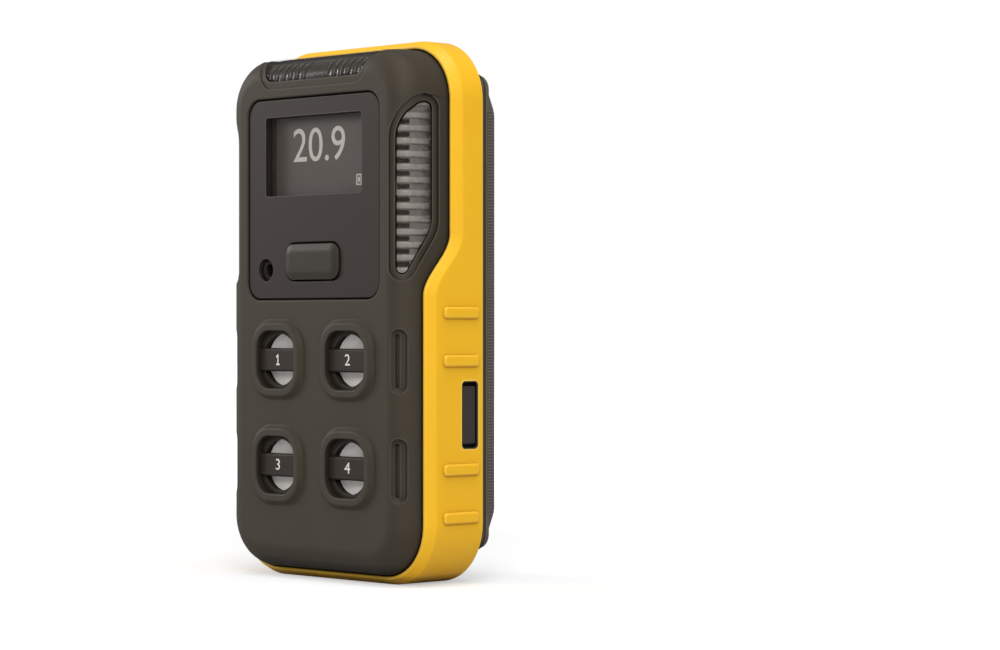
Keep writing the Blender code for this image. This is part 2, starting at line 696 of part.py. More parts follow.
def add_light_openings(assembly, housing):
    """Cut each alarm light's opening, with a shallow bezel sunk into the skin round it."""
    bm = bmesh.new()
    near, _ = add_prism(bm, body_outline(-LIGHT_BEZEL_SINK), FACE, LIGHT_BEZEL_SINK, FRONT_DEPTH + WALL)
    round_face(bm, near, FRONT_ROUND - LIGHT_BEZEL_SINK, ROUND_STEPS)
    core = assembly.tool("housing_core", bm)
    for name, outline, plane, inner, outer in light_windows():
        bm = bmesh.new()
        add_prism(bm, outline(LIGHT_BEZEL), plane, inner, outer)
        bezel = assembly.tool(name + "_bezel", bm)
        cut(bezel, core)
        cut(housing, bezel)
        bm = bmesh.new()
        add_prism(bm, outline(0.0), plane, inner, outer)
        cut(housing, assembly.tool(name + "_opening", bm))


def add_posts(assembly, housing):
    """Add the screw bosses and the posts that carry the main board."""
    bosses = bmesh.new()
    holes = bmesh.new()
    tip = HEAD_SEAT - SCREW_LENGTH - CLEARANCE
    for x, z in screw_places():
        profile = cylinder_profile(BOSS_RADIUS, WALL - OVERLAP, FRONT_DEPTH - OVERLAP)
        add_turned(bosses, profile, (x, 0, z), (0, 1, 0), SMALL_CIRCLE_STEPS)
        profile = cylinder_profile(SCREW_SHANK / 2 + CLEARANCE, tip, FRONT_DEPTH + WALL)
        add_turned(holes, profile, (x, 0, z), (0, 1, 0), SMALL_CIRCLE_STEPS)
    for side in (-1, 1):
        x = side * (MAIN_BOARD_HALF - POST_SIDE_MARGIN)
        for z in (MAIN_BOARD_LOW + POST_END_MARGIN, MAIN_BOARD_HIGH - POST_END_MARGIN):
            profile = cylinder_profile(POST_DIAMETER / 2, WALL - OVERLAP, BOARD_FRONT - CLEARANCE)
            add_turned(bosses, profile, (x, 0, z), (0, 1, 0), SMALL_CIRCLE_STEPS)
    join(housing, assembly.tool("front_bosses", bosses))
    cut(housing, assembly.tool("front_boss_holes", holes))


def front_housing(assembly):
    """Moulded front shell with the panel seat, the ports and the light openings."""
    bm = bmesh.new()
    add_front_form(bm, 0.0)
    housing = assembly.add("front_housing", bm, "shell")
    thicken(housing, WALL)
    add_posts(assembly, housing)
    add_panel_seat(assembly, housing)
    add_light_openings(assembly, housing)
    add_ports(assembly, housing)
    add_inlets(assembly, housing)


def alarm_lights(assembly):
    """Lenses that follow the housing's form, each inside its opening."""
    for name, outline, plane, inner, outer in light_windows():
        bm = bmesh.new()
        add_front_form(bm, LIGHT_SINK)
        lens = assembly.add(name, bm, "lens")
        thicken(lens, LIGHT_THICKNESS)
        window = bmesh.new()
        add_prism(window, outline(-CLEARANCE), plane, inner, outer)
        combine(lens, assembly.tool(name + "_outline", window), "INTERSECT")


def fascia(assembly):
    """Panel with the display aperture, the button's hole and the tapered sound hole."""
    bm = bmesh.new()
    panel = rectangle(PANEL_WIDTH, PANEL_HEIGHT, (0.0, PANEL_MIDDLE))
    add_prism(bm, rounded(panel, PANEL_CORNER), FACE, PANEL_SINK, PANEL_BACK)
    piece = assembly.add("fascia_panel", bm, "panel")
    holes = bmesh.new()
    add_prism(holes, window_outline(0.0), FACE, -WALL, WALL + PANEL_BACK)
    button = rectangle(BUTTON_WIDTH, BUTTON_HEIGHT, (0.0, BUTTON_Z))
    add_prism(holes, rounded(button, BUTTON_CORNER, CLEARANCE, SMALL_STEPS), FACE, -WALL, WALL + PANEL_BACK)
    cut(piece, assembly.tool("fascia_holes", holes))
    funnel = bmesh.new()
    slope = (SOUND_HOLE_DIAMETER - SOUND_HOLE_THROAT) / 2 / PANEL_THICKNESS
    profile = [
        (0.0, PANEL_BACK + OVERLAP),
        (SOUND_HOLE_THROAT / 2 - slope * OVERLAP, PANEL_BACK + OVERLAP),
        (SOUND_HOLE_DIAMETER / 2 + slope * OVERLAP, PANEL_SINK - OVERLAP),
        (0.0, PANEL_SINK - OVERLAP),
    ]
    add_turned(funnel, profile, (SOUND_X, 0, SOUND_Z), (0, 1, 0))
    cut(piece, assembly.tool("sound_funnel", funnel))


def window_outline(grow):
    """Outline of the display's aperture in the panel."""
    width = VIEW_WIDTH + 2 * WINDOW_MARGIN
    height = VIEW_HEIGHT + 2 * WINDOW_MARGIN
    return rounded(rectangle(width, height, (0.0, VIEW_MIDDLE)), WINDOW_CORNER, grow, SMALL_STEPS)


def display(assembly):
    """Clear window, the frame that holds the display, the glass and the backlight behind it."""
    bm = bmesh.new()
    add_prism(bm, window_outline(-CLEARANCE), FACE, PANEL_SINK, PANEL_BACK)
    assembly.add("display_window", bm, "clear")
    width = VIEW_WIDTH + 2 * GLASS_MARGIN
    height = VIEW_HEIGHT + 2 * GLASS_MARGIN
    middle = (0.0, VIEW_MIDDLE)
    bm = bmesh.new()
    add_prism(bm, rectangle(width, height, middle), FACE, GLASS_FRONT, GLASS_FRONT + GLASS_THICKNESS)
    assembly.add("lcd_glass", bm, "glass")
    bm = bmesh.new()
    back = BACKLIGHT_FRONT + BACKLIGHT_THICKNESS
    add_prism(bm, rectangle(width, height, middle), FACE, BACKLIGHT_FRONT, back)
    assembly.add("lcd_backlight", bm, "white")
    bm = bmesh.new()
    play = 2 * CLEARANCE
    outer = rectangle(width + play + 2 * FRAME_WALL, height + play + 2 * FRAME_WALL, middle)
    add_prism(bm, rounded(outer, FRAME_WALL, 0.0, SMALL_STEPS), FACE, SEAT, BOARD_FRONT - CLEARANCE)
    frame = assembly.add("lcd_frame", bm, "rubber")
    pocket = bmesh.new()
    add_prism(pocket, rectangle(width + play, height + play, middle), FACE, SEAT + FRAME_LIP, BOARD_FRONT)
    cut(frame, assembly.tool("lcd_pocket", pocket))
    view = bmesh.new()
    opening = rectangle(VIEW_WIDTH + 2 * VIEW_BORDER, VIEW_HEIGHT + 2 * VIEW_BORDER, middle)
    add_prism(view, opening, FACE, 0.0, GLASS_FRONT + OVERLAP)
    cut(frame, assembly.tool("lcd_view", view))


def button_and_switch(assembly):
    """Push button with a flange behind the panel, and the switch that it presses."""
    bm = bmesh.new()
    outline = rectangle(BUTTON_WIDTH, BUTTON_HEIGHT, (0.0, BUTTON_Z))
    cap = rounded(outline, BUTTON_CORNER, 0.0, SMALL_STEPS)
    near, _ = add_prism(bm, cap, FACE, PANEL_SINK - BUTTON_RAISE, SEAT + OVERLAP)
    round_face(bm, near, BUTTON_ROUND)
    button = assembly.add("power_button", bm, "rubber")
    flange_back = SEAT + BUTTON_FLANGE_THICKNESS
    flange = bmesh.new()
    add_prism(flange, rounded(outline, BUTTON_CORNER, BUTTON_FLANGE, SMALL_STEPS), FACE, SEAT, flange_back)
    tool = assembly.tool("button_flange", flange)
    join(button, tool)
    axis = (0, SEAT, BUTTON_Z)
    place_origin(button, axis)

    stem_front = flange_back + CLEARANCE
    body_back = BOARD_FRONT - CLEARANCE
    body_front = body_back - SWITCH_HEIGHT
    stem_back = body_front + STEM_ENGAGE
    bm = bmesh.new()
    half = SWITCH_SIZE / 2
    add_box(bm, (-half, body_front, BUTTON_Z - half), (half, body_back, BUTTON_Z + half))
    switch = assembly.add("tact_switch", bm, "steel")
    bore = bmesh.new()
    bore_back = stem_back + BUTTON_TRAVEL + CLEARANCE
    profile = cylinder_profile(STEM_DIAMETER / 2 + CLEARANCE, body_front - WALL, bore_back)
    add_turned(bore, profile, (0, 0, BUTTON_Z), (0, 1, 0), SMALL_CIRCLE_STEPS)
    cut(switch, assembly.tool("switch_bore", bore))
    bm = bmesh.new()
    profile = cylinder_profile(STEM_DIAMETER / 2, stem_front, stem_back)
    add_turned(bm, profile, (0, 0, BUTTON_Z), (0, 1, 0), SMALL_CIRCLE_STEPS)
    place_origin(assembly.add("switch_stem", bm, "rubber"), (0, stem_front, BUTTON_Z))


def sounder(assembly):
    """Sounder on the main board, with a soft tube that leads to the sound hole."""
    middle = (SOUND_X, 0, SOUND_Z)
    bore = SOUND_HOLE_THROAT / 2
    bm = bmesh.new()
    profile = ring_profile(bore, bore + SOUND_TUBE_WALL, SEAT, LEDGE_BACK)
    add_turned(bm, profile, middle, (0, 1, 0), closed=True)
    assembly.add("sounder_tube", bm, "rubber")
    bm = bmesh.new()
    front = LEDGE_BACK + CLEARANCE
    back = BOARD_FRONT - CLEARANCE
    profile = [
        (0.0, back),
        (SOUNDER_DIAMETER / 2, back),
        (SOUNDER_DIAMETER / 2, front),
        (bore, front),
        (bore, front + CLEARANCE),
        (0.0, front + CLEARANCE),
    ]
    add_turned(bm, profile, middle, (0, 1, 0))
    assembly.add("sounder", bm, "rubber")


def sensors(assembly):
    """Four gas sensors on pins, each with a seal and a filter disc in front."""
    for index, (x, z) in enumerate(port_places(), start=1):
        middle = (x, 0, z)
        radius = SENSOR_DIAMETER / 2
        bm = bmesh.new()
        profile = [
            (0.0, SENSOR_BACK),
            (radius, SENSOR_BACK),
            (radius, SENSOR_FRONT + SENSOR_CAP_STEP),
            (radius - SENSOR_CAP_STEP, SENSOR_FRONT),
            (0.0, SENSOR_FRONT),
        ]
        add_turned(bm, profile, middle, (0, 1, 0))
        sensor = assembly.add(f"gas_sensor_{index}", bm, "sensor")
        pins = bmesh.new()
        for pin_x, pin_z in sensor_pin_places(x, z):
            profile = cylinder_profile(SENSOR_PIN_DIAMETER / 2, SENSOR_BACK - OVERLAP, SENSOR_BOARD_BACK)
            add_turned(pins, profile, (pin_x, 0, pin_z), (0, 1, 0), PIN_STEPS)
        join(sensor, assembly.tool(f"sensor_pins_{index}", pins))
        bm = bmesh.new()
        inner = FILTER_DIAMETER / 2 + CLEARANCE
        profile = ring_profile(inner, inner + SEAL_WIDTH, SEAL_FRONT, SEAL_FRONT + SEAL_THICKNESS)
        add_turned(bm, profile, middle, (0, 1, 0), closed=True)
        assembly.add(f"sensor_seal_{index}", bm, "rubber")
        bm = bmesh.new()
        back = SENSOR_FRONT - CLEARANCE
        profile = cylinder_profile(FILTER_DIAMETER / 2, back - FILTER_THICKNESS, back)
        add_turned(bm, profile, middle, (0, 1, 0))
        assembly.add(f"sensor_filter_{index}", bm, "white")


def sensor_pin_places(x, z):
    """Middles of one sensor's pins."""
    return [
        (
            x + SENSOR_PIN_CIRCLE / 2 * math.sin(math.tau * pin / SENSOR_PINS),
            z + SENSOR_PIN_CIRCLE / 2 * math.cos(math.tau * pin / SENSOR_PINS),
        )
        for pin in range(SENSOR_PINS)
    ]


def boards(assembly):
    """Main board behind the display, sensor board behind the sensors, and the header between."""
    bm = bmesh.new()
    height = MAIN_BOARD_HIGH - MAIN_BOARD_LOW
    corners = rectangle(2 * MAIN_BOARD_HALF, height, (0.0, (MAIN_BOARD_HIGH + MAIN_BOARD_LOW) / 2))
    add_prism(bm, rounded(corners, BOARD_CORNER, 0.0, SMALL_STEPS), FACE, BOARD_FRONT, BOARD_BACK)
    assembly.add("main_board", bm, "board")
    bm = bmesh.new()
    height = SENSOR_BOARD_HIGH - SENSOR_BOARD_LOW
    corners = rectangle(2 * SENSOR_BOARD_HALF, height, (0.0, (SENSOR_BOARD_HIGH + SENSOR_BOARD_LOW) / 2))
    outline = rounded(corners, BOARD_CORNER, 0.0, SMALL_STEPS)
    add_prism(bm, outline, FACE, SENSOR_BOARD_FRONT, SENSOR_BOARD_BACK)
    board = assembly.add("sensor_board", bm, "board")
    holes = bmesh.new()
    for x, z in port_places():
        for pin_x, pin_z in sensor_pin_places(x, z):
            profile = cylinder_profile(
                SENSOR_PIN_DIAMETER / 2 + CLEARANCE, SENSOR_BOARD_FRONT - WALL, SENSOR_BOARD_BACK + WALL
            )
            add_turned(holes, profile, (pin_x, 0, pin_z), (0, 1, 0), PIN_STEPS)
    cut(board, assembly.tool("sensor_pin_holes", holes))
    bm = bmesh.new()
    half_width = HEADER_WIDTH / 2
    half_height = HEADER_HEIGHT / 2
    low = (HEADER_X - half_width, BOARD_BACK + CLEARANCE, MOTOR_Z - half_height)
    high = (HEADER_X + half_width, SENSOR_BOARD_FRONT - CLEARANCE, MOTOR_Z + half_height)
    add_box(bm, low, high)
    assembly.add("board_header", bm, "rubber")


def leds(assembly):
    """Light sources behind the side lenses, and a bar of them along the main board's top edge."""
    back = BOARD_FRONT - CLEARANCE
    middle = BODY_HIGH - SIDE_LIGHT_TOP_MARGIN - SIDE_LIGHT_HEIGHT / 2
    for side, name in ((-1, "side_led_left"), (1, "side_led_right")):
        bm = bmesh.new()
        x = side * (MAIN_BOARD_HALF - LED_SIZE / 2)
        half = LED_SIZE / 2
        add_box(bm, (x - half, back - LED_HEIGHT, middle - half), (x + half, back, middle + half))
        assembly.add(name, bm, "white")
    bm = bmesh.new()
    low = (-LED_BAR_WIDTH / 2, BOARD_FRONT - LED_HEIGHT, MAIN_BOARD_HIGH + CLEARANCE)
    high = (LED_BAR_WIDTH / 2, BOARD_BACK, MAIN_BOARD_HIGH + CLEARANCE + LED_HEIGHT)
    add_box(bm, low, high)
    assembly.add("top_led_bar", bm, "white")


def battery(assembly):
    """Battery pack in its bay, and the sprung contact block that meets it."""
    bm = bmesh.new()
    corners = rectangle(BATTERY_WIDTH, BATTERY_HIGH - BATTERY_LOW, (0.0, (BATTERY_HIGH + BATTERY_LOW) / 2))
    outline = rounded(corners, BATTERY_ROUND, 0.0, SMALL_STEPS)
    near, _ = add_prism(bm, outline, FACE, BATTERY_FRONT, BATTERY_BACK)
    round_face(bm, near, BATTERY_ROUND / 2)
    assembly.add("battery_pack", bm, "battery")
    bm = bmesh.new()
    half_width = CONTACT_BLOCK_WIDTH / 2
    low_z = BATTERY_LOW + BATTERY_ROUND
    low = (CONTACT_BLOCK_X - half_width, BOARD_BACK + CLEARANCE, low_z)
    high = (CONTACT_BLOCK_X + half_width, BATTERY_FRONT - CLEARANCE, low_z + CONTACT_BLOCK_HEIGHT)
    add_box(bm, low, high)
    assembly.add("battery_contact", bm, "brass")


def vibration_motor(assembly):
    """Small motor in a cradle on the sensor board, with a half-round weight on its shaft."""
    radius = MOTOR_DIAMETER / 2
    end = MOTOR_X + MOTOR_LENGTH
    middle = (0, MOTOR_Y, MOTOR_Z)
    bore = MOTOR_SHAFT_DIAMETER / 2 + CLEARANCE
    bm = bmesh.new()
    profile = [
        (0.0, end - MOTOR_SHAFT_BORE),
        (bore, end - MOTOR_SHAFT_BORE),
        (bore, end),
        (radius, end),
        (radius, MOTOR_X),
        (0.0, MOTOR_X),
    ]
    add_turned(bm, profile, middle, (1, 0, 0), CIRCLE_STEPS)
    assembly.add("vibration_motor", bm, "steel")
    weight_low = end + CLEARANCE
    weight_high = weight_low + MOTOR_WEIGHT_LENGTH
    bm = bmesh.new()
    shaft_low = end - MOTOR_SHAFT_BORE + CLEARANCE
    profile = cylinder_profile(MOTOR_SHAFT_DIAMETER / 2, shaft_low, weight_high + CLEARANCE)
    add_turned(bm, profile, middle, (1, 0, 0), SMALL_CIRCLE_STEPS)
    place_origin(assembly.add("motor_shaft", bm, "steel"), middle)

    bm = bmesh.new()
    hub = MOTOR_WEIGHT_HUB / 2
    outline = [(MOTOR_Y + hub, MOTOR_Z + hub), (MOTOR_Y - hub, MOTOR_Z + hub)]
    for step in range(HALF_CIRCLE_STEPS + 1):
        angle = math.pi + math.pi * step / HALF_CIRCLE_STEPS
        outline.append((MOTOR_Y + radius * math.cos(angle), MOTOR_Z + radius * math.sin(angle)))
    add_prism(bm, outline, SIDE, weight_low, weight_high)
    weight = assembly.add("motor_weight", bm, "brass")
    hole = bmesh.new()
    profile = cylinder_profile(bore, weight_low - WALL, weight_high + WALL)
    add_turned(hole, profile, middle, (1, 0, 0), SMALL_CIRCLE_STEPS)
    cut(weight, assembly.tool("weight_bore", hole))
    place_origin(weight, middle)

    bm = bmesh.new()
    half = radius + MOTOR_CRADLE_WALL
    low = (MOTOR_X + MOTOR_CRADLE_END, MOTOR_Y + MOTOR_CRADLE_SINK, MOTOR_Z - half)
    high = (end - MOTOR_CRADLE_END, SENSOR_BOARD_FRONT - CLEARANCE, MOTOR_Z + half)
    add_box(bm, low, high)
    cradle = assembly.add("motor_cradle", bm, "rubber")
    groove = bmesh.new()
    add_turned(groove, cylinder_profile(radius + CLEARANCE, MOTOR_X - WALL, end + WALL), middle, (1, 0, 0))
    cut(cradle, assembly.tool("cradle_groove", groove))


def housing_gasket(assembly):
    """Seal between the rims of the two housings."""
    bm = bmesh.new()
    front = FRONT_DEPTH + CLEARANCE
    add_prism(bm, body_outline(-GASKET_INSET), FACE, front, front + GASKET_THICKNESS)
    gasket = assembly.add("housing_gasket", bm, "rubber")
    bm = bmesh.new()
    add_prism(bm, body_outline(-GASKET_INSET - GASKET_WIDTH), FACE, front - WALL, front + WALL)
    cut(gasket, assembly.tool("gasket_middle", bm))


def bumper_edge(z):
    """Depth of the bumper's front edge: far back beside the lights, forward round the ports."""
    share = min(1.0, max(0.0, (z - BEND_LOW) / BEND_HEIGHT))
    smooth = share * share * (3 - 2 * share)
    return BUMPER_EDGE_LOW + (BUMPER_EDGE_HIGH - BUMPER_EDGE_LOW) * smooth


def bumper_stations():
    """Middle, direction and reach of each section round the band, anticlockwise from low right."""
    inner_x = HALF - BODY_CORNER
    low = BODY_LOW + BODY_CORNER
    high = BODY_HIGH - BODY_CORNER
    stations = []
    for quarter, (x, z) in enumerate(((inner_x, low), (inner_x, high), (-inner_x, high), (-inner_x, low))):
        for step in range(CORNER_STEPS + 1):
            angle = math.pi / 2 * (quarter - 1 + step / CORNER_STEPS)
            stations.append((Vector((x, z)), Vector((math.cos(angle), math.sin(angle))), BODY_CORNER))
        if quarter in (0, 2):
            side = 1 if quarter == 0 else -1
            bend = [BEND_LOW + BEND_HEIGHT * step / BEND_STEPS for step in range(BEND_STEPS + 1)]
            for z_bend in bend[::side]:
                stations.append((Vector((side * inner_x, z_bend)), Vector((side, 0)), BODY_CORNER))
    return stations


def bumper_frame(assembly):
    """Band lofted round the housings, its section following the S-bent front edge."""
    bm = bmesh.new()
    rows = []
    inner = CLEARANCE
    outer = CLEARANCE + BUMPER_WALL
    for middle, direction, reach in bumper_stations():
        edge = bumper_edge((middle + direction * reach).y)
        section = [
            (inner, edge),
            (inner + BUMPER_LIP, edge),
            (outer, edge + BUMPER_CHAMFER),
            (outer, BUMPER_BACK - BUMPER_BACK_ROUND),
            (outer - BUMPER_BACK_ROUND, BUMPER_BACK),
            (inner, BUMPER_BACK),
        ]
        row = []
        for grow, depth in section:
            place = middle + direction * (reach + grow)
            row.append(bm.verts.new((place.x, depth, place.y)))
        rows.append(row)
    for row, following in zip(rows, rows[1:] + rows[:1]):
        for index in range(len(row)):
            after = (index + 1) % len(row)
            bm.faces.new((row[index], row[after], following[after], following[index]))
    band = assembly.add("bumper_frame", bm, "bumper")
    bars = bmesh.new()
    slots = bmesh.new()
    back = BUMPER_BACK - GRIP_BAR_BACK_MARGIN
    heights = (ROW_HIGH + GRIP_BAR_STEP, ROW_HIGH, ROW_LOW, ROW_LOW - GRIP_BAR_STEP)
    for side in (-1, 1):
        plane = (SIDE[0], SIDE[1], SIDE[2], SIDE[3] * side)
        for z in heights:
            corners = rectangle(GRIP_BAR_LENGTH, GRIP_BAR_HEIGHT, (back - GRIP_BAR_LENGTH / 2, z))
            outline = rounded(corners, GRIP_BAR_ROUND, 0.0, EDGE_STEPS)
            _, far = add_prism(bars, outline, plane, HALF + outer - OVERLAP, HALF + outer + GRIP_BAR_RAISE)
            round_face(bars, far, GRIP_BAR_ROUND, EDGE_STEPS)
        outline = slot_outline(0.0)
        add_prism(slots, outline, plane, HALF - WALL, HALF + outer + WALL)
    join(band, assembly.tool("grip_bars", bars))
    cut(band, assembly.tool("side_slots", slots))


def slot_outline(grow):
    """Outline of the side slots."""
    middle = (BUMPER_BACK - SLOT_BACK_MARGIN - SLOT_WIDTH / 2, ROW_MIDDLE)
    return rounded(rectangle(SLOT_WIDTH, SLOT_LENGTH, middle), SLOT_CORNER, grow, SMALL_STEPS)


def side_pads(assembly):
    """Pads that lie in the bumper's side slots."""
    for side, name in ((-1, "side_pad_left"), (1, "side_pad_right")):
        bm = bmesh.new()
        plane = (SIDE[0], SIDE[1], SIDE[2], SIDE[3] * side)
        low = HALF + CLEARANCE
        _, far = add_prism(bm, slot_outline(-CLEARANCE), plane, low, low + PAD_THICKNESS)
        round_face(bm, far, PAD_ROUND, EDGE_STEPS)
        assembly.add(name, bm, "rubber")


def add_back_block(bm):
    """Raised back of the rear housing, tapering at its ends and sides."""
    corners = rectangle(BODY_WIDTH + 2 * BACK_OVERHANG, BACK_HIGH - BACK_LOW, (0.0, BODY_MIDDLE))
    _, far = add_prism(bm, rounded(corners, BACK_CORNER), FACE, FLANGE_FRONT, BODY_DEPTH)
    wide = 1 - 2 * BACK_SIDE_TAPER / (BODY_WIDTH + 2 * BACK_OVERHANG)
    tall = 1 - 2 * BACK_TAPER / (BACK_HIGH - BACK_LOW)
    about = Matrix.Translation((0, 0, -BODY_MIDDLE))
    bmesh.ops.scale(bm, vec=(wide, 1.0, tall), verts=far.verts, space=about)
    round_face(bm, far, BACK_ROUND)


def rear_housing(assembly):
    """Rear shell: a tub inside the bumper with a raised, tapered back, bosses and standoffs."""
    bm = bmesh.new()
    add_prism(bm, body_outline(), FACE, REAR_FRONT, FLANGE_FRONT + OVERLAP)
    housing = assembly.add("rear_housing", bm, "rear")
    block = bmesh.new()
    add_back_block(block)
    join(housing, assembly.tool("back_block", block))
    cavity = bmesh.new()
    add_prism(cavity, body_outline(-WALL), FACE, REAR_FRONT - WALL, TUB_BACK)
    cut(housing, assembly.tool("tub_cavity", cavity))
    bay = bmesh.new()
    width = BODY_WIDTH - 2 * (WALL + BAY_SIDE_MARGIN)
    corners = rectangle(width, BAY_HIGH - BAY_LOW, (0.0, (BAY_LOW + BAY_HIGH) / 2))
    add_prism(bay, rounded(corners, BAY_CORNER, 0.0, SMALL_STEPS), FACE, REAR_FRONT, BACK_INNER)
    cut(housing, assembly.tool("bay_cavity", bay))
    add_rear_posts(assembly, housing)
    add_rear_holes(assembly, housing)


def add_rear_posts(assembly, housing):
    """Screw bosses, standoffs behind the sensor board, clip bosses and ribs beside the battery."""
    posts = bmesh.new()
    for x, z in screw_places():
        profile = cylinder_profile(BOSS_RADIUS, REAR_FRONT + OVERLAP, TUB_BACK + OVERLAP)
        add_turned(posts, profile, (x, 0, z), (0, 1, 0), SMALL_CIRCLE_STEPS)
    low = SENSOR_BOARD_BACK + CLEARANCE
    for side in (-1, 1):
        for z in (ROW_MIDDLE, MOTOR_Z):
            profile = cylinder_profile(STANDOFF_DIAMETER / 2, low, BACK_INNER + OVERLAP)
            add_turned(posts, profile, (side * STANDOFF_X, 0, z), (0, 1, 0), SMALL_CIRCLE_STEPS)
        profile = cylinder_profile(BOSS_RADIUS, low + CLEARANCE, BACK_INNER + OVERLAP)
        place = (side * CLIP_SCREW_PITCH / 2, 0, CLIP_SCREW_Z)
        add_turned(posts, profile, place, (0, 1, 0), SMALL_CIRCLE_STEPS)
        edges = sorted(
            side * (BATTERY_WIDTH / 2 + distance) for distance in (CLEARANCE, CLEARANCE + BATTERY_RIB)
        )
        rib_low = (edges[0], BACK_INNER - BATTERY_RIB_HEIGHT, BATTERY_LOW + BATTERY_ROUND)
        rib_high = (edges[1], BACK_INNER + OVERLAP, BATTERY_HIGH - BATTERY_ROUND)
        add_box(posts, rib_low, rib_high)
    join(housing, assembly.tool("rear_posts", posts))


def add_rear_holes(assembly, housing):
    """Screw holes with sunk seats, clip screw holes and the holes of the charge contacts."""
    holes = bmesh.new()
    bore = SCREW_SHANK / 2 + CLEARANCE
    seat = SCREW_HEAD / 2 + CLEARANCE
    past = BODY_DEPTH + WALL
    for x, z in screw_places():
        profile = [
            (0.0, past),
            (seat, past),
            (seat, HEAD_SEAT),
            (bore, HEAD_SEAT),
            (bore, REAR_FRONT - WALL),
            (0.0, REAR_FRONT - WALL),
        ]
        add_turned(holes, profile, (x, 0, z), (0, 1, 0), SMALL_CIRCLE_STEPS)
    for side in (-1, 1):
        profile = cylinder_profile(bore, SENSOR_BOARD_BACK, past)
        place = (side * CLIP_SCREW_PITCH / 2, 0, CLIP_SCREW_Z)
        add_turned(holes, profile, place, (0, 1, 0), SMALL_CIRCLE_STEPS)
    for x, z in charge_places():
        profile = cylinder_profile(CHARGE_DIAMETER / 2 + CLEARANCE, SENSOR_BOARD_BACK, past)
        add_turned(holes, profile, (x, 0, z), (0, 1, 0), SMALL_CIRCLE_STEPS)
    cut(housing, assembly.tool("rear_holes", holes))


def charge_places():
    """Middles of the charge contacts, in a row low on the back."""
    z = BACK_LOW + BACK_TAPER + CHARGE_LOW_MARGIN
    first = -CHARGE_PITCH * (CHARGE_COUNT - 1) / 2
    return [(first + CHARGE_PITCH * index, z) for index in range(CHARGE_COUNT)]


def charge_contacts(assembly):
    """Contact pins between the sensor board and the back."""
    for index, (x, z) in enumerate(charge_places(), start=1):
        bm = bmesh.new()
        front = SENSOR_BOARD_BACK + CLEARANCE
        profile = cylinder_profile(CHARGE_DIAMETER / 2, front, BODY_DEPTH - CHARGE_SINK)
        add_turned(bm, profile, (x, 0, z), (0, 1, 0), SMALL_CIRCLE_STEPS)
        assembly.add(f"charge_contact_{index}", bm, "brass")


def screw(assembly, name, x, z, seat, length):
    """Pan-head screw driven from the back, its head on a seat at a depth."""
    bm = bmesh.new()
    shank = SCREW_SHANK / 2
    head = SCREW_HEAD / 2
    socket = SCREW_SOCKET / 2
    top = seat + SCREW_HEAD_HEIGHT
    profile = [
        (0.0, top - SCREW_SOCKET_DEPTH),
        (socket, top - SCREW_SOCKET_DEPTH),
        (socket, top),
        (head, top),
        (head, seat),
        (shank, seat),
        (shank, seat - length),
        (0.0, seat - length),
    ]
    add_turned(bm, profile, (x, 0, z), (0, 1, 0), SMALL_CIRCLE_STEPS)
    assembly.add(name, bm, "steel")


def screws(assembly):
    """Four housing screws, and the two that hold the clip."""
    for index, (x, z) in enumerate(screw_places(), start=1):
        screw(assembly, f"housing_screw_{index}", x, z, HEAD_SEAT + CLEARANCE, SCREW_LENGTH)
    seat = CLIP_PLATE_BACK + CLEARANCE
    length = seat - SENSOR_BOARD_BACK - 2 * CLEARANCE
    for index, side in enumerate((-1, 1), start=1):
        screw(assembly, f"clip_screw_{index}", side * CLIP_SCREW_PITCH / 2, CLIP_SCREW_Z, seat, length)


def bent_path(points, radius, steps=SMALL_STEPS):
    """Path through points with each inner bend rounded."""
    path = [Vector(points[0])]
    for before, corner, after in zip(points, points[1:], points[2:]):
        corner = Vector(corner)
        back = (Vector(before) - corner).normalized()
        ahead = (Vector(after) - corner).normalized()
        half = math.acos(max(-1.0, min(1.0, back.dot(ahead)))) / 2
        reach = radius / math.tan(half)
        start = corner + back * reach
        end = corner + ahead * reach
        for step in range(steps + 1):
            share = step / steps
            first = start.lerp(corner, share)
            path.append(first.lerp(corner.lerp(end, share), share))
    path.append(Vector(points[-1]))
    return path


def sheet_outline(path, thickness):
    """Outline of a bent sheet of even thickness that follows a path."""
    left = []
    right = []
    for index, point in enumerate(path):
        along = path[min(index + 1, len(path) - 1)] - path[max(index - 1, 0)]
        normal = Vector((-along.y, along.x)).normalized() * (thickness / 2)
        left.append(point + normal)
        right.append(point - normal)
    return left + right[::-1]


def ear_outline(radius, base):
    """Outline of an ear: round about the pin, straight to the sheet that carries it."""
    side = 1 if base > CLIP_PIN_Y else -1
    outline = [(base, CLIP_PIN_Z - radius * side), (base, CLIP_PIN_Z + radius * side)]
    for step in range(EAR_STEPS + 1):
        angle = math.pi / 2 + math.pi * step / EAR_STEPS
        y = CLIP_PIN_Y + side * radius * math.cos(angle)
        outline.append((y, CLIP_PIN_Z + side * radius * math.sin(angle)))
    return outline


def add_ears(bm, half_width, radius, base):
    """Add a pair of ears whose outer faces are a width apart."""
    for side in (-1, 1):
        plane = (SIDE[0], SIDE[1], SIDE[2], SIDE[3] * side)
        add_prism(bm, ear_outline(radius, base), plane, half_width - CLIP_SHEET, half_width)


def pin_hole(assembly, name, piece):
    """Cut the clip pin's hole right through a piece."""
    bm = bmesh.new()
    profile = cylinder_profile(CLIP_PIN_DIAMETER / 2 + PIN_PLAY, -CLIP_WIDTH, CLIP_WIDTH)
    add_turned(bm, profile, (0, CLIP_PIN_Y, CLIP_PIN_Z), (1, 0, 0), SMALL_CIRCLE_STEPS)
    cut(piece, assembly.tool(name, bm))


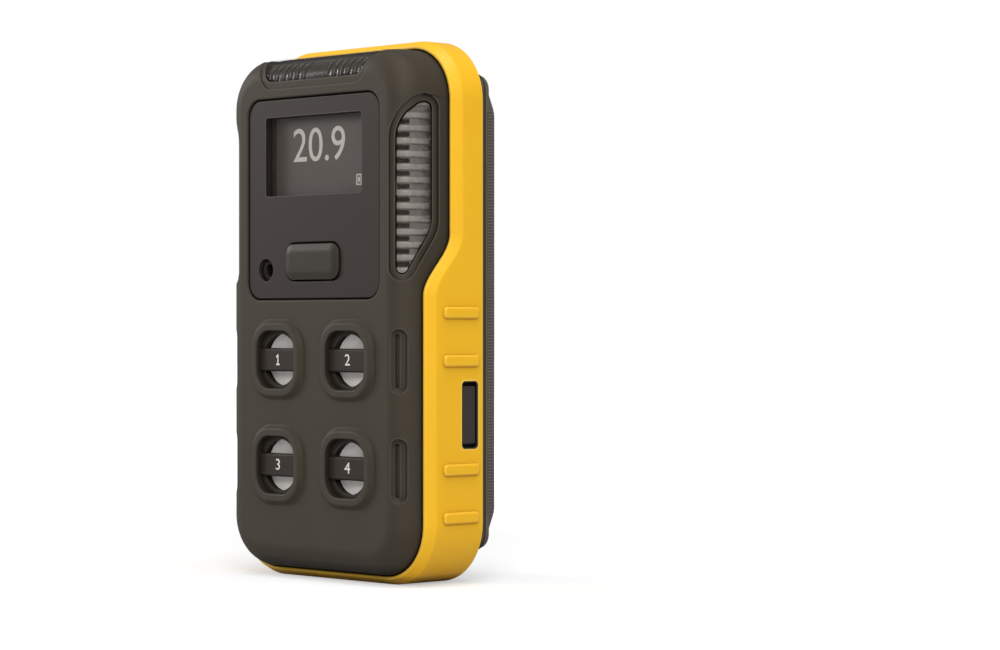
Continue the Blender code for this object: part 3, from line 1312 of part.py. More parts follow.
def clip_base(assembly):
    """Plate screwed to the back, with two ears for the pin."""
    bm = bmesh.new()
    low = CLIP_PIN_Z - CLIP_ARM - CLIP_TIP_LIP
    high = CLIP_PIN_Z + CLIP_THUMB
    corners = rectangle(CLIP_WIDTH, high - low, (0.0, (low + high) / 2))
    outline = rounded(corners, BOARD_CORNER, 0.0, SMALL_STEPS)
    add_prism(bm, outline, FACE, CLIP_PLATE_FRONT, CLIP_PLATE_BACK)
    base = assembly.add("clip_base", bm, "steel")
    ears = bmesh.new()
    radius = CLIP_PIN_DIAMETER / 2 + PIN_PLAY + CLIP_EAR_WALL
    add_ears(ears, CLIP_WIDTH / 2 - CLIP_EAR_INSET, radius, CLIP_PLATE_BACK - OVERLAP)
    join(base, assembly.tool("base_ears", ears))
    pin_hole(assembly, "base_pin_hole", base)
    holes = bmesh.new()
    for side in (-1, 1):
        bore = SCREW_SHANK / 2 + CLEARANCE
        profile = cylinder_profile(bore, CLIP_PLATE_FRONT - WALL, CLIP_PLATE_BACK + WALL)
        place = (side * CLIP_SCREW_PITCH / 2, 0, CLIP_SCREW_Z)
        add_turned(holes, profile, place, (0, 1, 0), SMALL_CIRCLE_STEPS)
    cut(base, assembly.tool("base_screw_holes", holes))


def clip_lever(assembly):
    """Sprung lever of bent sheet: a thumb end, two cheeks on the pin, and a jaw that meets the plate."""
    middle = CLIP_PIN_Y + CLIP_PIN_HEIGHT + CLIP_SHEET / 2
    tip = CLIP_PLATE_BACK + CLEARANCE + CLIP_SHEET / 2
    points = [
        (middle + CLIP_THUMB_RAISE, CLIP_PIN_Z + CLIP_THUMB),
        (middle, CLIP_PIN_Z + CLIP_THUMB_FLAT),
        (middle, CLIP_PIN_Z - CLIP_ARM_FLAT),
        (tip, CLIP_PIN_Z - CLIP_ARM + CLIP_TIP_LIP),
        (tip + CLIP_TIP_RAISE, CLIP_PIN_Z - CLIP_ARM),
    ]
    bm = bmesh.new()
    outline = sheet_outline(bent_path(points, CLIP_BEND), CLIP_SHEET)
    add_prism(bm, outline, SIDE, -LEVER_HALF, LEVER_HALF)
    lever = assembly.add("clip_lever", bm, "steel")
    cheeks = bmesh.new()
    radius = CLIP_PIN_DIAMETER / 2 + PIN_PLAY + CLIP_EAR_WALL
    add_ears(cheeks, LEVER_HALF - CLIP_EAR_INSET, radius, CLIP_PIN_Y + CLIP_PIN_HEIGHT + OVERLAP)
    join(lever, assembly.tool("lever_cheeks", cheeks))
    pin_hole(assembly, "lever_pin_hole", lever)
    place_origin(lever, (0, CLIP_PIN_Y, CLIP_PIN_Z))


def clip_pin(assembly):
    """Headed pin through the ears of the plate and the cheeks of the lever."""
    radius = CLIP_PIN_DIAMETER / 2
    head = CLIP_PIN_HEAD / 2
    end = CLIP_WIDTH / 2 + CLEARANCE
    top = end + CLIP_PIN_HEAD_HEIGHT
    profile = [
        (0.0, top),
        (head, top),
        (head, end),
        (radius, end),
        (radius, -end),
        (head, -end),
        (head, -top),
        (0.0, -top),
    ]
    bm = bmesh.new()
    add_turned(bm, profile, (0, CLIP_PIN_Y, CLIP_PIN_Z), (1, 0, 0), SMALL_CIRCLE_STEPS)
    assembly.add("clip_pin", bm, "steel")


def spring_points():
    """Path of the torsion spring: a leg on the plate, the turns round the pin, a leg on the lever."""
    pitch = SPRING_WIRE + SPRING_GAP
    length = pitch * SPRING_TURNS
    steps = int(SPRING_TURNS * SPRING_STEPS)
    points = [Vector((-length / 2, -SPRING_RADIUS, SPRING_LEG))]
    for step in range(steps + 1):
        share = step / steps
        angle = -math.pi / 2 - math.tau * SPRING_TURNS * share
        reach = Vector((0.0, math.sin(angle), math.cos(angle))) * SPRING_RADIUS
        points.append(Vector((length * share - length / 2, 0.0, 0.0)) + reach)
    points.append(Vector((length / 2, SPRING_RADIUS, SPRING_LEG)))
    return points


def clip_spring(assembly):
    """Torsion spring round the clip's pin, one unbroken wire."""
    points = spring_points()
    turn = SPRING_STEPS // 2
    pairs = [(a, b) for i, a in enumerate(points) for b in points[i + turn:]]
    gap = min((a - b).length for a, b in pairs) - SPRING_WIRE
    print("least gap of the spring to itself, mm:", gap / MM)
    curve = bpy.data.curves.new("clip_spring", "CURVE")
    curve.dimensions = "3D"
    curve.bevel_depth = SPRING_WIRE / 2
    curve.bevel_resolution = 1
    curve.use_fill_caps = True
    spline = curve.splines.new("POLY")
    spline.points.add(len(points) - 1)
    for target, point in zip(spline.points, points):
        target.co = (point.x, point.y, point.z, 1.0)
    curve.materials.append(assembly.finishes["steel"])
    spring = bpy.data.objects.new("clip_spring", curve)
    spring.parent = assembly.root
    spring.location = (0, CLIP_PIN_Y, CLIP_PIN_Z)
    assembly.parts.objects.link(spring)


def main():
    """Build every piece."""
    clear_scene()
    assembly = Assembly()
    front_housing(assembly)
    alarm_lights(assembly)
    fascia(assembly)
    display(assembly)
    button_and_switch(assembly)
    sounder(assembly)
    sensors(assembly)
    boards(assembly)
    leds(assembly)
    battery(assembly)
    vibration_motor(assembly)
    housing_gasket(assembly)
    bumper_frame(assembly)
    side_pads(assembly)
    rear_housing(assembly)
    charge_contacts(assembly)
    screws(assembly)
    clip_base(assembly)
    clip_lever(assembly)
    clip_pin(assembly)
    clip_spring(assembly)


main()
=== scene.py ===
"""Looks of the portable gas detector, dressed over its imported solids.

The front faces -Y, X runs to the right of someone who reads the display, and Z is up. Sizes are in
metres. Depths are measured from the flat front face towards the back.
"""

import json
import logging
import math
from contextlib import contextmanager
from dataclasses import dataclass, field
from enum import Enum
from typing import Callable, Iterator, Sequence

import bmesh
import bpy
from bpy.types import Material, Node, NodeSocket, NodeTree, Object
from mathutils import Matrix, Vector

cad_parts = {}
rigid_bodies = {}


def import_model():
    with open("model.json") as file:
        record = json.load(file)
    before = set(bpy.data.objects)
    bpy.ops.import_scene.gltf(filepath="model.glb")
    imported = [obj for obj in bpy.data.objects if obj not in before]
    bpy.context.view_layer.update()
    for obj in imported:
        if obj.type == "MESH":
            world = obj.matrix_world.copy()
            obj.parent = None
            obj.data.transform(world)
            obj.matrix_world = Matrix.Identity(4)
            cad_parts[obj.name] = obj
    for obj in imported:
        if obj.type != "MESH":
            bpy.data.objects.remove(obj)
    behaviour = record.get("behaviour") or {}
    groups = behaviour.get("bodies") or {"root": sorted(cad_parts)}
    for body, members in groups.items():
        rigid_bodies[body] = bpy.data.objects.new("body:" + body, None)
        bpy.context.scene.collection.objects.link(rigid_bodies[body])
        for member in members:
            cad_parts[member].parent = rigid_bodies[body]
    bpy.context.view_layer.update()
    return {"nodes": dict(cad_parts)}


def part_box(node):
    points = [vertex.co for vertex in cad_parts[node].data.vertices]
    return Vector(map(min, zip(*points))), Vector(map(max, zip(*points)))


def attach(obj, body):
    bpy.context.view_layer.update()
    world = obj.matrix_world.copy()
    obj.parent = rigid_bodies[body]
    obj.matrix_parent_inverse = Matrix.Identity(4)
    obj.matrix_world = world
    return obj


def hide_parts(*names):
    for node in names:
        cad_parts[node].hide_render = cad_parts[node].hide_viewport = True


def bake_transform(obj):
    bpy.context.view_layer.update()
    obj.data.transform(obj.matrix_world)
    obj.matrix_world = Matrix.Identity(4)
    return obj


for leftover in list(bpy.data.objects):
    bpy.data.objects.remove(leftover)

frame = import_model()
LOG = logging.getLogger("gas_detector")

MM = 0.001
TINY = 0.02 * MM
MERGE = 0.0005 * MM
FRONT = Vector((0.0, -1.0, 0.0))
BACK = Vector((0.0, 1.0, 0.0))
DIAGONAL = math.sqrt(0.5)

# Shared places, read from the solids
RIM_RAISE = 1.0 * MM
FACE_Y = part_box("front_housing")[0].y + RIM_RAISE
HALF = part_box("front_housing")[1].x
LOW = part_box("front_housing")[0].z
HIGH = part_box("front_housing")[1].z
SKIRT_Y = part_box("front_housing")[1].y
BODY_CORNER = 12.0 * MM
FRONT_ROUND = 6.0 * MM
WALL = 2.0 * MM
PORTS = [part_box(f"sensor_filter_{index}") for index in range(1, 5)]


class Pick(Enum):
    """What an edit-mode selection is made of."""

    POINTS = "VERT"
    EDGES = "EDGE"
    FACES = "FACE"


class Joining(Enum):
    """How a tool solid is combined with a piece."""

    ADD = "UNION"
    CUT = "DIFFERENCE"
    COMMON = "INTERSECT"


class Body(Enum):
    """The bodies that pieces ride on."""

    HOUSING = "housing"
    BUTTON = "button"
    CLIP = "clip"


class Side(Enum):
    """The two sides of the detector, as signs along X."""

    LEFT = -1
    RIGHT = 1


def depth(length: float) -> float:
    """World Y of a depth in millimetres behind the front face."""
    return FACE_Y + length * MM


def activate(*pieces: Object) -> None:
    """Select these objects and nothing else, the first one active."""
    for item in list(bpy.context.selected_objects):
        item.select_set(False)
    for piece in pieces:
        piece.select_set(True)
    bpy.context.view_layer.objects.active = pieces[0]


@contextmanager
def editing(piece: Object, pick: Pick = Pick.FACES) -> Iterator[None]:
    """Hold a piece in edit mode with nothing selected.

    Args:
        piece: The object to edit.
        pick: What selections are made of.
    """
    activate(piece)
    bpy.ops.object.mode_set(mode="EDIT")
    bpy.ops.mesh.select_mode(type=pick.value)
    bpy.ops.mesh.select_all(action="DESELECT")
    try:
        yield
    finally:
        bpy.ops.object.mode_set(mode="OBJECT")


def pick_points(piece: Object, test: Callable[[Vector], bool]) -> None:
    """Select the points of the edited piece that pass a test of their place."""
    mesh = bmesh.from_edit_mesh(piece.data)
    for point in mesh.verts:
        if test(point.co):
            point.select_set(True)
    mesh.select_flush(True)
    bmesh.update_edit_mesh(piece.data)


def pick_edges(piece: Object, test: Callable[[Vector, Vector], bool], bend: float = 0.0) -> None:
    """Select edges of the edited piece.

    Args:
        piece: The object in edit mode.
        test: Says yes to an edge from the places of its two ends.
        bend: Only edges whose faces meet at more than this angle, in radians, are taken.
    """
    mesh = bmesh.from_edit_mesh(piece.data)
    for edge in mesh.edges:
        if bend and edge.calc_face_angle(0.0) < bend:
            continue
        if test(edge.verts[0].co, edge.verts[1].co):
            edge.select_set(True)
    bmesh.update_edit_mesh(piece.data)


def pick_faces(piece: Object, test: Callable[[Vector, Vector], bool]) -> None:
    """Select the faces of the edited piece whose middle and normal pass a test."""
    mesh = bmesh.from_edit_mesh(piece.data)
    for face in mesh.faces:
        if test(face.calc_center_median(), face.normal):
            face.select_set(True)
    bmesh.update_edit_mesh(piece.data)


def settle(piece: Object) -> Object:
    """Move an object's place, turn and scale into its mesh, and return it."""
    activate(piece)
    bpy.ops.object.transform_apply(location=True, rotation=True, scale=True)
    return piece


def face_out(piece: Object) -> None:
    """Turn all the faces of a closed piece outwards."""
    with editing(piece):
        bpy.ops.mesh.select_all(action="SELECT")
        bpy.ops.mesh.normals_make_consistent(inside=False)


def discard(piece: Object) -> None:
    """Remove a tool object and its mesh."""
    mesh = piece.data
    bpy.data.objects.remove(piece)
    bpy.data.meshes.remove(mesh)


def apply_modifier(piece: Object, kind: str, **settings: object) -> None:
    """Add a modifier with its settings to a piece and apply it."""
    modifier = piece.modifiers.new(kind.lower(), kind)
    for name, value in settings.items():
        setattr(modifier, name, value)
    activate(piece)
    bpy.ops.object.modifier_apply(modifier=modifier.name)


def combine(piece: Object, tool: Object, how: Joining) -> None:
    """Join, cut or intersect a piece with a tool solid, which is used up, and merge what coincides."""
    apply_modifier(piece, "BOOLEAN", object=tool, operation=how.value, solver="EXACT")
    discard(tool)
    with editing(piece, Pick.POINTS):
        bpy.ops.mesh.select_all(action="SELECT")
        bpy.ops.mesh.remove_doubles(threshold=MERGE)


def copy_of(piece: Object, name: str, shift: Sequence[float] = (0.0, 0.0, 0.0)) -> Object:
    """Copy a piece with a mesh of its own.

    Args:
        piece: The object to copy.
        name: The copy's name.
        shift: How far the copy is moved.

    Returns:
        The copy, with its place in its mesh.
    """
    activate(piece)
    bpy.ops.object.duplicate(linked=False)
    twin = bpy.context.object
    twin.name = name
    twin.location = shift
    return settle(twin)


def mirrored(piece: Object, name: str) -> Object:
    """Copy a piece to the other side of the detector."""
    twin = copy_of(piece, name)
    twin.scale = (-1.0, 1.0, 1.0)
    settle(twin)
    face_out(twin)
    return twin


def joined(pieces: Sequence[Object]) -> Object:
    """Put several objects into the first one and return it."""
    activate(*pieces)
    bpy.ops.object.join()
    return pieces[0]


def start_block(name: str, low: Sequence[float], high: Sequence[float]) -> Object:
    """Add a cube stretched between two corners.

    Args:
        name: The object's name.
        low: Its lowest corner.
        high: Its highest corner.

    Returns:
        The new block.
    """
    bpy.ops.mesh.primitive_cube_add(size=1.0, location=(Vector(low) + Vector(high)) / 2)
    block = bpy.context.object
    block.name = name
    block.scale = Vector(high) - Vector(low)
    return settle(block)


def start_rod(
    name: str, radius: float, low: float, high: float, place: tuple[float, float], sides: int = 40
) -> Object:
    """Add a cylinder that runs front to back.

    Args:
        name: The object's name.
        radius: Its radius.
        low: World Y of its front end.
        high: World Y of its back end.
        place: X and Z of its axis.
        sides: How many faces go round it.

    Returns:
        The new rod.
    """
    bpy.ops.mesh.primitive_cylinder_add(
        vertices=sides,
        radius=radius,
        depth=high - low,
        location=(place[0], (low + high) / 2, place[1]),
        rotation=(math.pi / 2, 0.0, 0.0),
    )
    rod = bpy.context.object
    rod.name = name
    return settle(rod)


def bevel_edges(
    piece: Object, test: Callable[[Vector, Vector], bool], width: float, steps: int, bend: float = 0.0
) -> None:
    """Round the edges that pass a test.

    Args:
        piece: The object to round.
        test: Says yes to an edge from the places of its two ends.
        width: Width of the bevel.
        steps: How many faces go across it.
        bend: Only edges whose faces meet at more than this angle are taken.
    """
    with editing(piece, Pick.EDGES):
        pick_edges(piece, test, bend)
        bpy.ops.mesh.bevel(offset=width, segments=steps, affect="EDGES", clamp_overlap=False)


def runs_back(start: Vector, end: Vector) -> bool:
    """Say whether an edge runs straight from front to back."""
    along = end - start
    return abs(along.y) > 0.99 * along.length


def round_outline(piece: Object, grow: float, radii: Sequence[tuple[float, float]], steps: int) -> None:
    """Round the front-to-back edges of a prism, whatever angle its sides meet at.

    Args:
        piece: The prism.
        grow: How far the prism lies outside the outline that the radii belong to.
        radii: Pairs of a largest turn in degrees and the radius of corners up to that turn.
        steps: Faces across each corner.
    """
    corners = []
    with editing(piece, Pick.EDGES):
        for edge in bmesh.from_edit_mesh(piece.data).edges:
            if runs_back(edge.verts[0].co, edge.verts[1].co):
                corners.append((edge.verts[0].co.copy(), edge.calc_face_angle()))
    for place, turn in corners:
        line = Vector((place.x, 0.0, place.z))

        def at_corner(start: Vector, end: Vector) -> bool:
            """Say whether an edge is this corner's own."""
            return all((Vector((spot.x, 0.0, spot.z)) - line).length < TINY for spot in (start, end))

        radius = next(radius for largest, radius in radii if math.degrees(turn) < largest)
        bevel_edges(piece, at_corner, (radius + grow) * math.tan(turn / 2), steps)


def rounded_block(
    name: str, low: Sequence[float], high: Sequence[float], corner: float, steps: int = 8
) -> Object:
    """Add a block whose front-to-back edges are rounded.

    Args:
        name: The object's name.
        low: Its lowest corner.
        high: Its highest corner.
        corner: Radius of the four rounded edges.
        steps: Faces across each of them.

    Returns:
        The new block.
    """
    block = start_block(name, low, high)
    bevel_edges(block, runs_back, corner, steps)
    return block


def plaque(
    name: str,
    size: tuple[float, float],
    middle: tuple[float, float],
    reach: tuple[float, float],
    corner: float,
    steps: int = 8,
) -> Object:
    """Add a rounded block by the size and middle of its face.

    Args:
        name: The object's name.
        size: Width and height.
        middle: X and Z of its middle.
        reach: World Y of its front and back.
        corner: Radius of its corners.
        steps: Faces across each corner.

    Returns:
        The new block.
    """
    low = (middle[0] - size[0] / 2, reach[0], middle[1] - size[1] / 2)
    high = (middle[0] + size[0] / 2, reach[1], middle[1] + size[1] / 2)
    return rounded_block(name, low, high, corner, steps)


def flat_end(piece: Object, facing: Vector) -> Callable[[Vector, Vector], bool]:
    """Make a test for the face at a piece's end in a direction."""
    farthest = max(point.co.dot(facing) for point in piece.data.vertices)

    def test(middle: Vector, normal: Vector) -> bool:
        """Say whether a face lies at that end and looks that way."""
        return normal.dot(facing) > 0.999 and middle.dot(facing) > farthest - TINY

    return test


def raise_rings(piece: Object, facing: Vector, rings: Sequence[tuple[float, float]]) -> None:
    """Shape the end face of a piece by a row of insets.

    Args:
        piece: The object to shape.
        facing: The way the face looks.
        rings: For each ring, how far it lies inside the face's first outline and how high it stands.
    """
    with editing(piece):
        pick_faces(piece, flat_end(piece, facing))
        inside, height = 0.0, 0.0
        for ring_inside, ring_height in rings:
            if ring_inside - inside < TINY:
                lift = facing * (ring_height - height)
                bpy.ops.mesh.extrude_region_move(TRANSFORM_OT_translate={"value": lift})
            else:
                bpy.ops.mesh.inset(thickness=ring_inside - inside, depth=ring_height - height)
            inside, height = ring_inside, ring_height


def soft_step(width: float, height: float, steps: int, start: float = 0.0) -> list[tuple[float, float]]:
    """Rings of an S-shaped flank that ends level at both ends."""
    shares = [step / steps for step in range(1, steps + 1)]
    return [(start + width * share, height * (1 - math.cos(math.pi * share)) / 2) for share in shares]


def round_over(width: float, height: float, steps: int, start: float = 0.0) -> list[tuple[float, float]]:
    """Rings of a quarter round that starts steep and ends level."""
    angles = [math.pi / 2 * step / steps for step in range(1, steps + 1)]
    return [(start + width * (1 - math.cos(a)), height * math.sin(a)) for a in angles]


def mouth_rings(width: float, height: float, steps: int) -> list[tuple[float, float]]:
    """Rings of a quarter round that starts level and ends steep, as at the mouth of a hole."""
    angles = [math.pi / 2 * step / steps for step in range(1, steps + 1)]
    return [(width * math.sin(a), height * (1 - math.cos(a))) for a in angles]


def smooth(piece: Object, angle: float = 32.0) -> None:
    """Shade a piece smooth up to an angle in degrees, with even normals on its flat faces."""
    activate(piece)
    bpy.ops.object.shade_smooth_by_angle(angle=math.radians(angle))
    apply_modifier(piece, "WEIGHTED_NORMAL", keep_sharp=True)


def hand_over(piece: Object, body: Body, slot: str, finish: Material, *nodes: str) -> Object:
    """Give a finished piece its material and its place on the detector.

    Args:
        piece: The finished object.
        body: The body that it rides on.
        slot: The record's material slot; not used.
        finish: Its material.
        nodes: The solids that it stands for.

    Returns:
        The piece.
    """
    if not piece.data.materials:
        piece.data.materials.append(finish)
    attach(piece, body.value)
    if nodes:
        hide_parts(*nodes)
    LOG.info("%s: %d faces, rides on %s", piece.name, len(piece.data.polygons), body.value)
    return piece


def linear(colour: str) -> tuple[float, float, float, float]:
    """Turn an sRGB hex colour into linear light."""
    parts = [int(colour[index:index + 2], 16) / 255 for index in (1, 3, 5)]
    light = [part / 12.92 if part <= 0.04045 else ((part + 0.055) / 1.055) ** 2.4 for part in parts]
    return light[0], light[1], light[2], 1.0


def per_metre(millimetres: float) -> float:
    """Scale of a pattern whose features are this far apart."""
    return 1.0 / (millimetres * MM)


def add_node(
    tree: NodeTree,
    kind: str,
    settings: dict[str, object] | None = None,
    inputs: dict[str | int, object] | None = None,
    links: dict[str | int, NodeSocket] | None = None,
) -> Node:
    """Add a node with its settings and links.

    Args:
        tree: The node tree.
        kind: The node's type.
        settings: Values of the node's own properties.
        inputs: Fixed values of its input sockets.
        links: Output sockets that feed its input sockets.

    Returns:
        The new node.
    """
    node = tree.nodes.new(kind)
    for name, value in (settings or {}).items():
        setattr(node, name, value)
    for socket, value in (inputs or {}).items():
        node.inputs[socket].default_value = value
    for socket, source in (links or {}).items():
        tree.links.new(source, node.inputs[socket])
    return node


@dataclass(frozen=True)
class Finish:
    """A surface finish: a ground colour that drifts, a grain and a gloss that varies.

    The colour drifts between two tones over a distance, and the grain is a fine random relief. Where the
    finish asks for them, a highlight is painted along sharp edges and shade is painted into hollows.
    """

    name: str
    colour: str
    drift: str
    roughness: float
    roughness_spread: float = 0.06
    grain_mm: float = 0.35
    grain_depth_mm: float = 0.02
    drift_mm: float = 14.0
    metallic: float = 0.0
    stretch: tuple[float, float, float] = (1.0, 1.0, 1.0)
    # edge: colour of a highlight painted along sharp edges, partly standing for wear
    edge: str = ""
    edge_mm: float = 0.5
    # hollow: how far hollows and recesses are darkened by painted shade
    hollow: float = 0.0
    hollow_mm: float = 4.0
    constants: dict[str, object] = field(default_factory=dict)

    def build(self) -> Material:
        """Make the material of this finish."""
        material = bpy.data.materials.new(self.name)
        material.use_nodes = True
        tree = material.node_tree
        tree.nodes.clear()
        place = add_node(tree, "ShaderNodeTexCoord")
        grain_place = add_node(
            tree,
            "ShaderNodeMapping",
            inputs={"Scale": self.stretch},
            links={"Vector": place.outputs["Object"]},
        )
        drift = add_node(
            tree,
            "ShaderNodeTexNoise",
            inputs={"Scale": per_metre(self.drift_mm), "Detail": 4.0, "Roughness": 0.6},
            links={"Vector": grain_place.outputs["Vector"]},
        )
        grain = add_node(
            tree,
            "ShaderNodeTexNoise",
            inputs={"Scale": per_metre(self.grain_mm), "Detail": 3.0, "Roughness": 0.55},
            links={"Vector": grain_place.outputs["Vector"]},
        )
        colour = self.colours(tree, place, drift, grain)
        gloss = add_node(
            tree,
            "ShaderNodeMapRange",
            inputs={
                "To Min": self.roughness - self.roughness_spread,
                "To Max": self.roughness + self.roughness_spread,
            },
            links={"Value": grain.outputs["Fac"]},
        )
        relief = self.relief(tree, place, grain)
        shader = add_node(
            tree,
            "ShaderNodeBsdfPrincipled",
            inputs={"Metallic": self.metallic, **self.constants},
            links={"Base Color": colour, "Roughness": gloss.outputs["Result"], "Normal": relief},
        )
        add_node(tree, "ShaderNodeOutputMaterial", links={"Surface": shader.outputs["BSDF"]})
        return material

    def colours(self, tree: NodeTree, place: Node, drift: Node, grain: Node) -> NodeSocket:
        """Mix the two tones, paint a highlight along sharp edges (partly standing for rubbed wear), and paint
        shade into hollows, where the finish has them.

        Args:
            tree: The material's nodes.
            place: The texture coordinates.
            drift: The slow noise.
            grain: The fine noise.

        Returns:
            The colour socket for the shader.
        """
        tones = add_node(
            tree,
            "ShaderNodeMix",
            {"data_type": "RGBA"},
            {6: linear(self.colour), 7: linear(self.drift)},
            {0: drift.outputs["Fac"]},
        )
        colour = tones.outputs[2]
        # The edge colour is a painted highlight along sharp edges, partly standing for rubbed wear.
        if self.edge:
            open_edge = self.openness(tree, self.edge_mm, inside=True, span=(0.97, 0.7, 0.65))
            wear_and_highlight = add_node(
                tree,
                "ShaderNodeMix",
                {"data_type": "RGBA"},
                {7: linear(self.edge)},
                {0: open_edge, 6: colour},
            )
            colour = wear_and_highlight.outputs[2]
        # Painted shade: the colour is darkened in hollows, recesses and under parts, where shade falls.
        if self.hollow:
            closed = self.openness(tree, self.hollow_mm, inside=False, span=(0.95, 0.3, 1.0))
            shade = add_node(
                tree,
                "ShaderNodeMapRange",
                inputs={"To Min": 1.0, "To Max": 1.0 - self.hollow},
                links={"Value": closed},
            )
            painted_hollow_shade = add_node(
                tree,
                "ShaderNodeVectorMath",
                {"operation": "SCALE"},
                links={0: colour, "Scale": shade.outputs["Result"]},
            )
            colour = painted_hollow_shade.outputs["Vector"]
        return colour

    def openness(
        self, tree: NodeTree, reach_mm: float, inside: bool, span: tuple[float, float, float]
    ) -> NodeSocket:
        """Measure how sharp an edge or how deep a hollow is.

        Args:
            tree: The material's nodes.
            reach_mm: How far the measure looks.
            inside: Whether it looks into the solid, for edges, or out of it, for hollows.
            span: The openness at which the measure starts and at which it is full, and its full value.

        Returns:
            A socket that runs from none to full.
        """
        open_share = add_node(
            tree,
            "ShaderNodeAmbientOcclusion",
            {"inside": inside, "only_local": inside, "samples": 6},
            {"Distance": reach_mm * MM},
        )
        measure = add_node(
            tree,
            "ShaderNodeMapRange",
            inputs={"From Min": span[0], "From Max": span[1], "To Max": span[2]},
            links={"Value": open_share.outputs["AO"]},
        )
        return measure.outputs["Result"]

    def relief(self, tree: NodeTree, place: Node, grain: Node) -> NodeSocket:
        """Turn the grain into a relief.

        Args:
            tree: The material's nodes.
            place: The texture coordinates.
            grain: The fine noise.

        Returns:
            The normal socket for the shader.
        """
        bump = add_node(
            tree,
            "ShaderNodeBump",
            inputs={"Strength": 1.0, "Distance": self.grain_depth_mm * MM},
            links={"Height": grain.outputs["Fac"]},
        )
        return bump.outputs["Normal"]


@dataclass(frozen=True)
class GridFinish(Finish):
    """A finish with a fine square grid printed or moulded into it."""

    grid_mm: float = 0.5
    grid_colour: str = "#000000"
    grid_share: float = 0.5

    def colours(self, tree: NodeTree, place: Node, drift: Node, grain: Node) -> NodeSocket:
        """Lay the grid's lines over the drifting tones.

        Args:
            tree: The material's nodes.
            place: The texture coordinates.
            drift: The slow noise.
            grain: The fine noise.

        Returns:
            The colour socket for the shader.
        """
        tones = super().colours(tree, place, drift, grain)
        grid = add_node(
            tree,
            "ShaderNodeTexBrick",
            {"offset": 0.0},
            {
                "Scale": 1.0,
                "Brick Width": self.grid_mm * MM,
                "Row Height": self.grid_mm * MM,
                "Mortar Size": self.grid_mm * MM * 0.12,
                "Mortar Smooth": 0.6,
            },
        )
        upright = add_node(
            tree,
            "ShaderNodeMapping",
            inputs={"Rotation": (math.pi / 2, 0.0, 0.0)},
            links={"Vector": place.outputs["Object"]},
        )
        tree.links.new(upright.outputs["Vector"], grid.inputs["Vector"])
        lines = add_node(
            tree,
            "ShaderNodeMapRange",
            inputs={"To Max": self.grid_share},
            links={"Value": grid.outputs["Fac"]},
        )
        mixed = add_node(
            tree,
            "ShaderNodeMix",
            {"data_type": "RGBA"},
            {7: linear(self.grid_colour)},
            {0: lines.outputs["Result"], 6: tones},
        )
        return mixed.outputs[2]


# In the finishes below, the edge colour is a painted highlight along sharp edges (partly wear), and hollow is
# painted shade in recesses.
# Textured elastomer over polycarbonate: spark-eroded tool, so a dry, even, very fine grain
SHELL = Finish(
    "textured_elastomer", "#393227", "#3f382d", 0.62, grain_mm=0.4, grain_depth_mm=0.018, edge="#565048",
    edge_mm=0.4, hollow=0.85, hollow_mm=5.0, constants={"IOR": 1.45, "Specular IOR Level": 0.3},
)
# Thermoplastic elastomer, moulded in a satin tool: strong colour, soft broad highlights
BAND = Finish(
    "satin_yellow_elastomer", "#f3b81a", "#f7be22", 0.45, grain_mm=0.5, grain_depth_mm=0.012, edge="#ffd970",
    edge_mm=0.45, hollow=0.45, hollow_mm=2.5, constants={"IOR": 1.47, "Specular IOR Level": 0.35},
)
# Glass-filled polyamide from a finely eroded tool: greyer than the front and a little rough
REAR = Finish(
    "eroded_polyamide", "#5a534c", "#635b54", 0.6, grain_mm=0.3, grain_depth_mm=0.02, edge="#746d66",
    edge_mm=0.35, hollow=0.6, hollow_mm=2.0, constants={"IOR": 1.53, "Specular IOR Level": 0.3},
)
# Polycarbonate panel with a hard matt coat: flatter and a little warmer than the shell
PANEL = Finish(
    "hard_coated_polycarbonate", "#2b221d", "#302721", 0.5, grain_mm=0.25, grain_depth_mm=0.006,
    edge="#5d544d",
    edge_mm=0.3, hollow=0.6, hollow_mm=2.0, constants={"IOR": 1.58, "Specular IOR Level": 0.18},
)
# Silicone rubber: near black, dusty and dull
RUBBER = Finish(
    "silicone_rubber", "#38322d", "#3e3833", 0.66, grain_mm=0.3, grain_depth_mm=0.015, edge="#5b544d",
    edge_mm=0.25, hollow=0.95, hollow_mm=3.0, constants={"IOR": 1.43, "Specular IOR Level": 0.25},
)
# Silicone button cap, moulded in a satin tool: the shell's colour, a little smoother
KEY = Finish(
    "satin_silicone", "#332e26", "#39342c", 0.5, grain_mm=0.4, grain_depth_mm=0.01, edge="#544e46",
    edge_mm=0.3, hollow=0.5, hollow_mm=1.5, constants={"IOR": 1.43, "Specular IOR Level": 0.25},
)
# Smoked polycarbonate, polished: mostly clear, so the ribs behind it show through a grey tint
COVER = Finish(
    "smoked_polycarbonate", "#3a352f", "#443e38", 0.1, roughness_spread=0.02, grain_mm=6.0,
    grain_depth_mm=0.01, constants={"IOR": 1.58, "Alpha": 0.2, "Specular IOR Level": 0.5},
)
# Frosted acrylic light guide: grey, with polished rib crests that catch the lamps
GUIDE = Finish(
    "ribbed_acrylic", "#8d857e", "#b4aca5", 0.28, roughness_spread=0.1, grain_mm=1.6, grain_depth_mm=0.02,
    drift_mm=3.2, constants={"IOR": 1.49, "Specular IOR Level": 0.5},
)
# The same acrylic, with the shade of the dark inside of the top edge painted into its colour: nearly black
# between its bright crests
DARK_GUIDE = Finish(
    "shaded_acrylic", "#3a342f", "#4a443e", 0.2, roughness_spread=0.06, grain_mm=1.6, grain_depth_mm=0.02,
    drift_mm=3.2, constants={"IOR": 1.49, "Specular IOR Level": 0.7},
)
# Hard-coated acrylic window: clear and thin
PANE = Finish(
    "clear_acrylic", "#2a2623", "#2e2a27", 0.06, roughness_spread=0.02, grain_mm=9.0,
    grain_depth_mm=0.004, constants={"IOR": 1.49, "Alpha": 0.12},
)
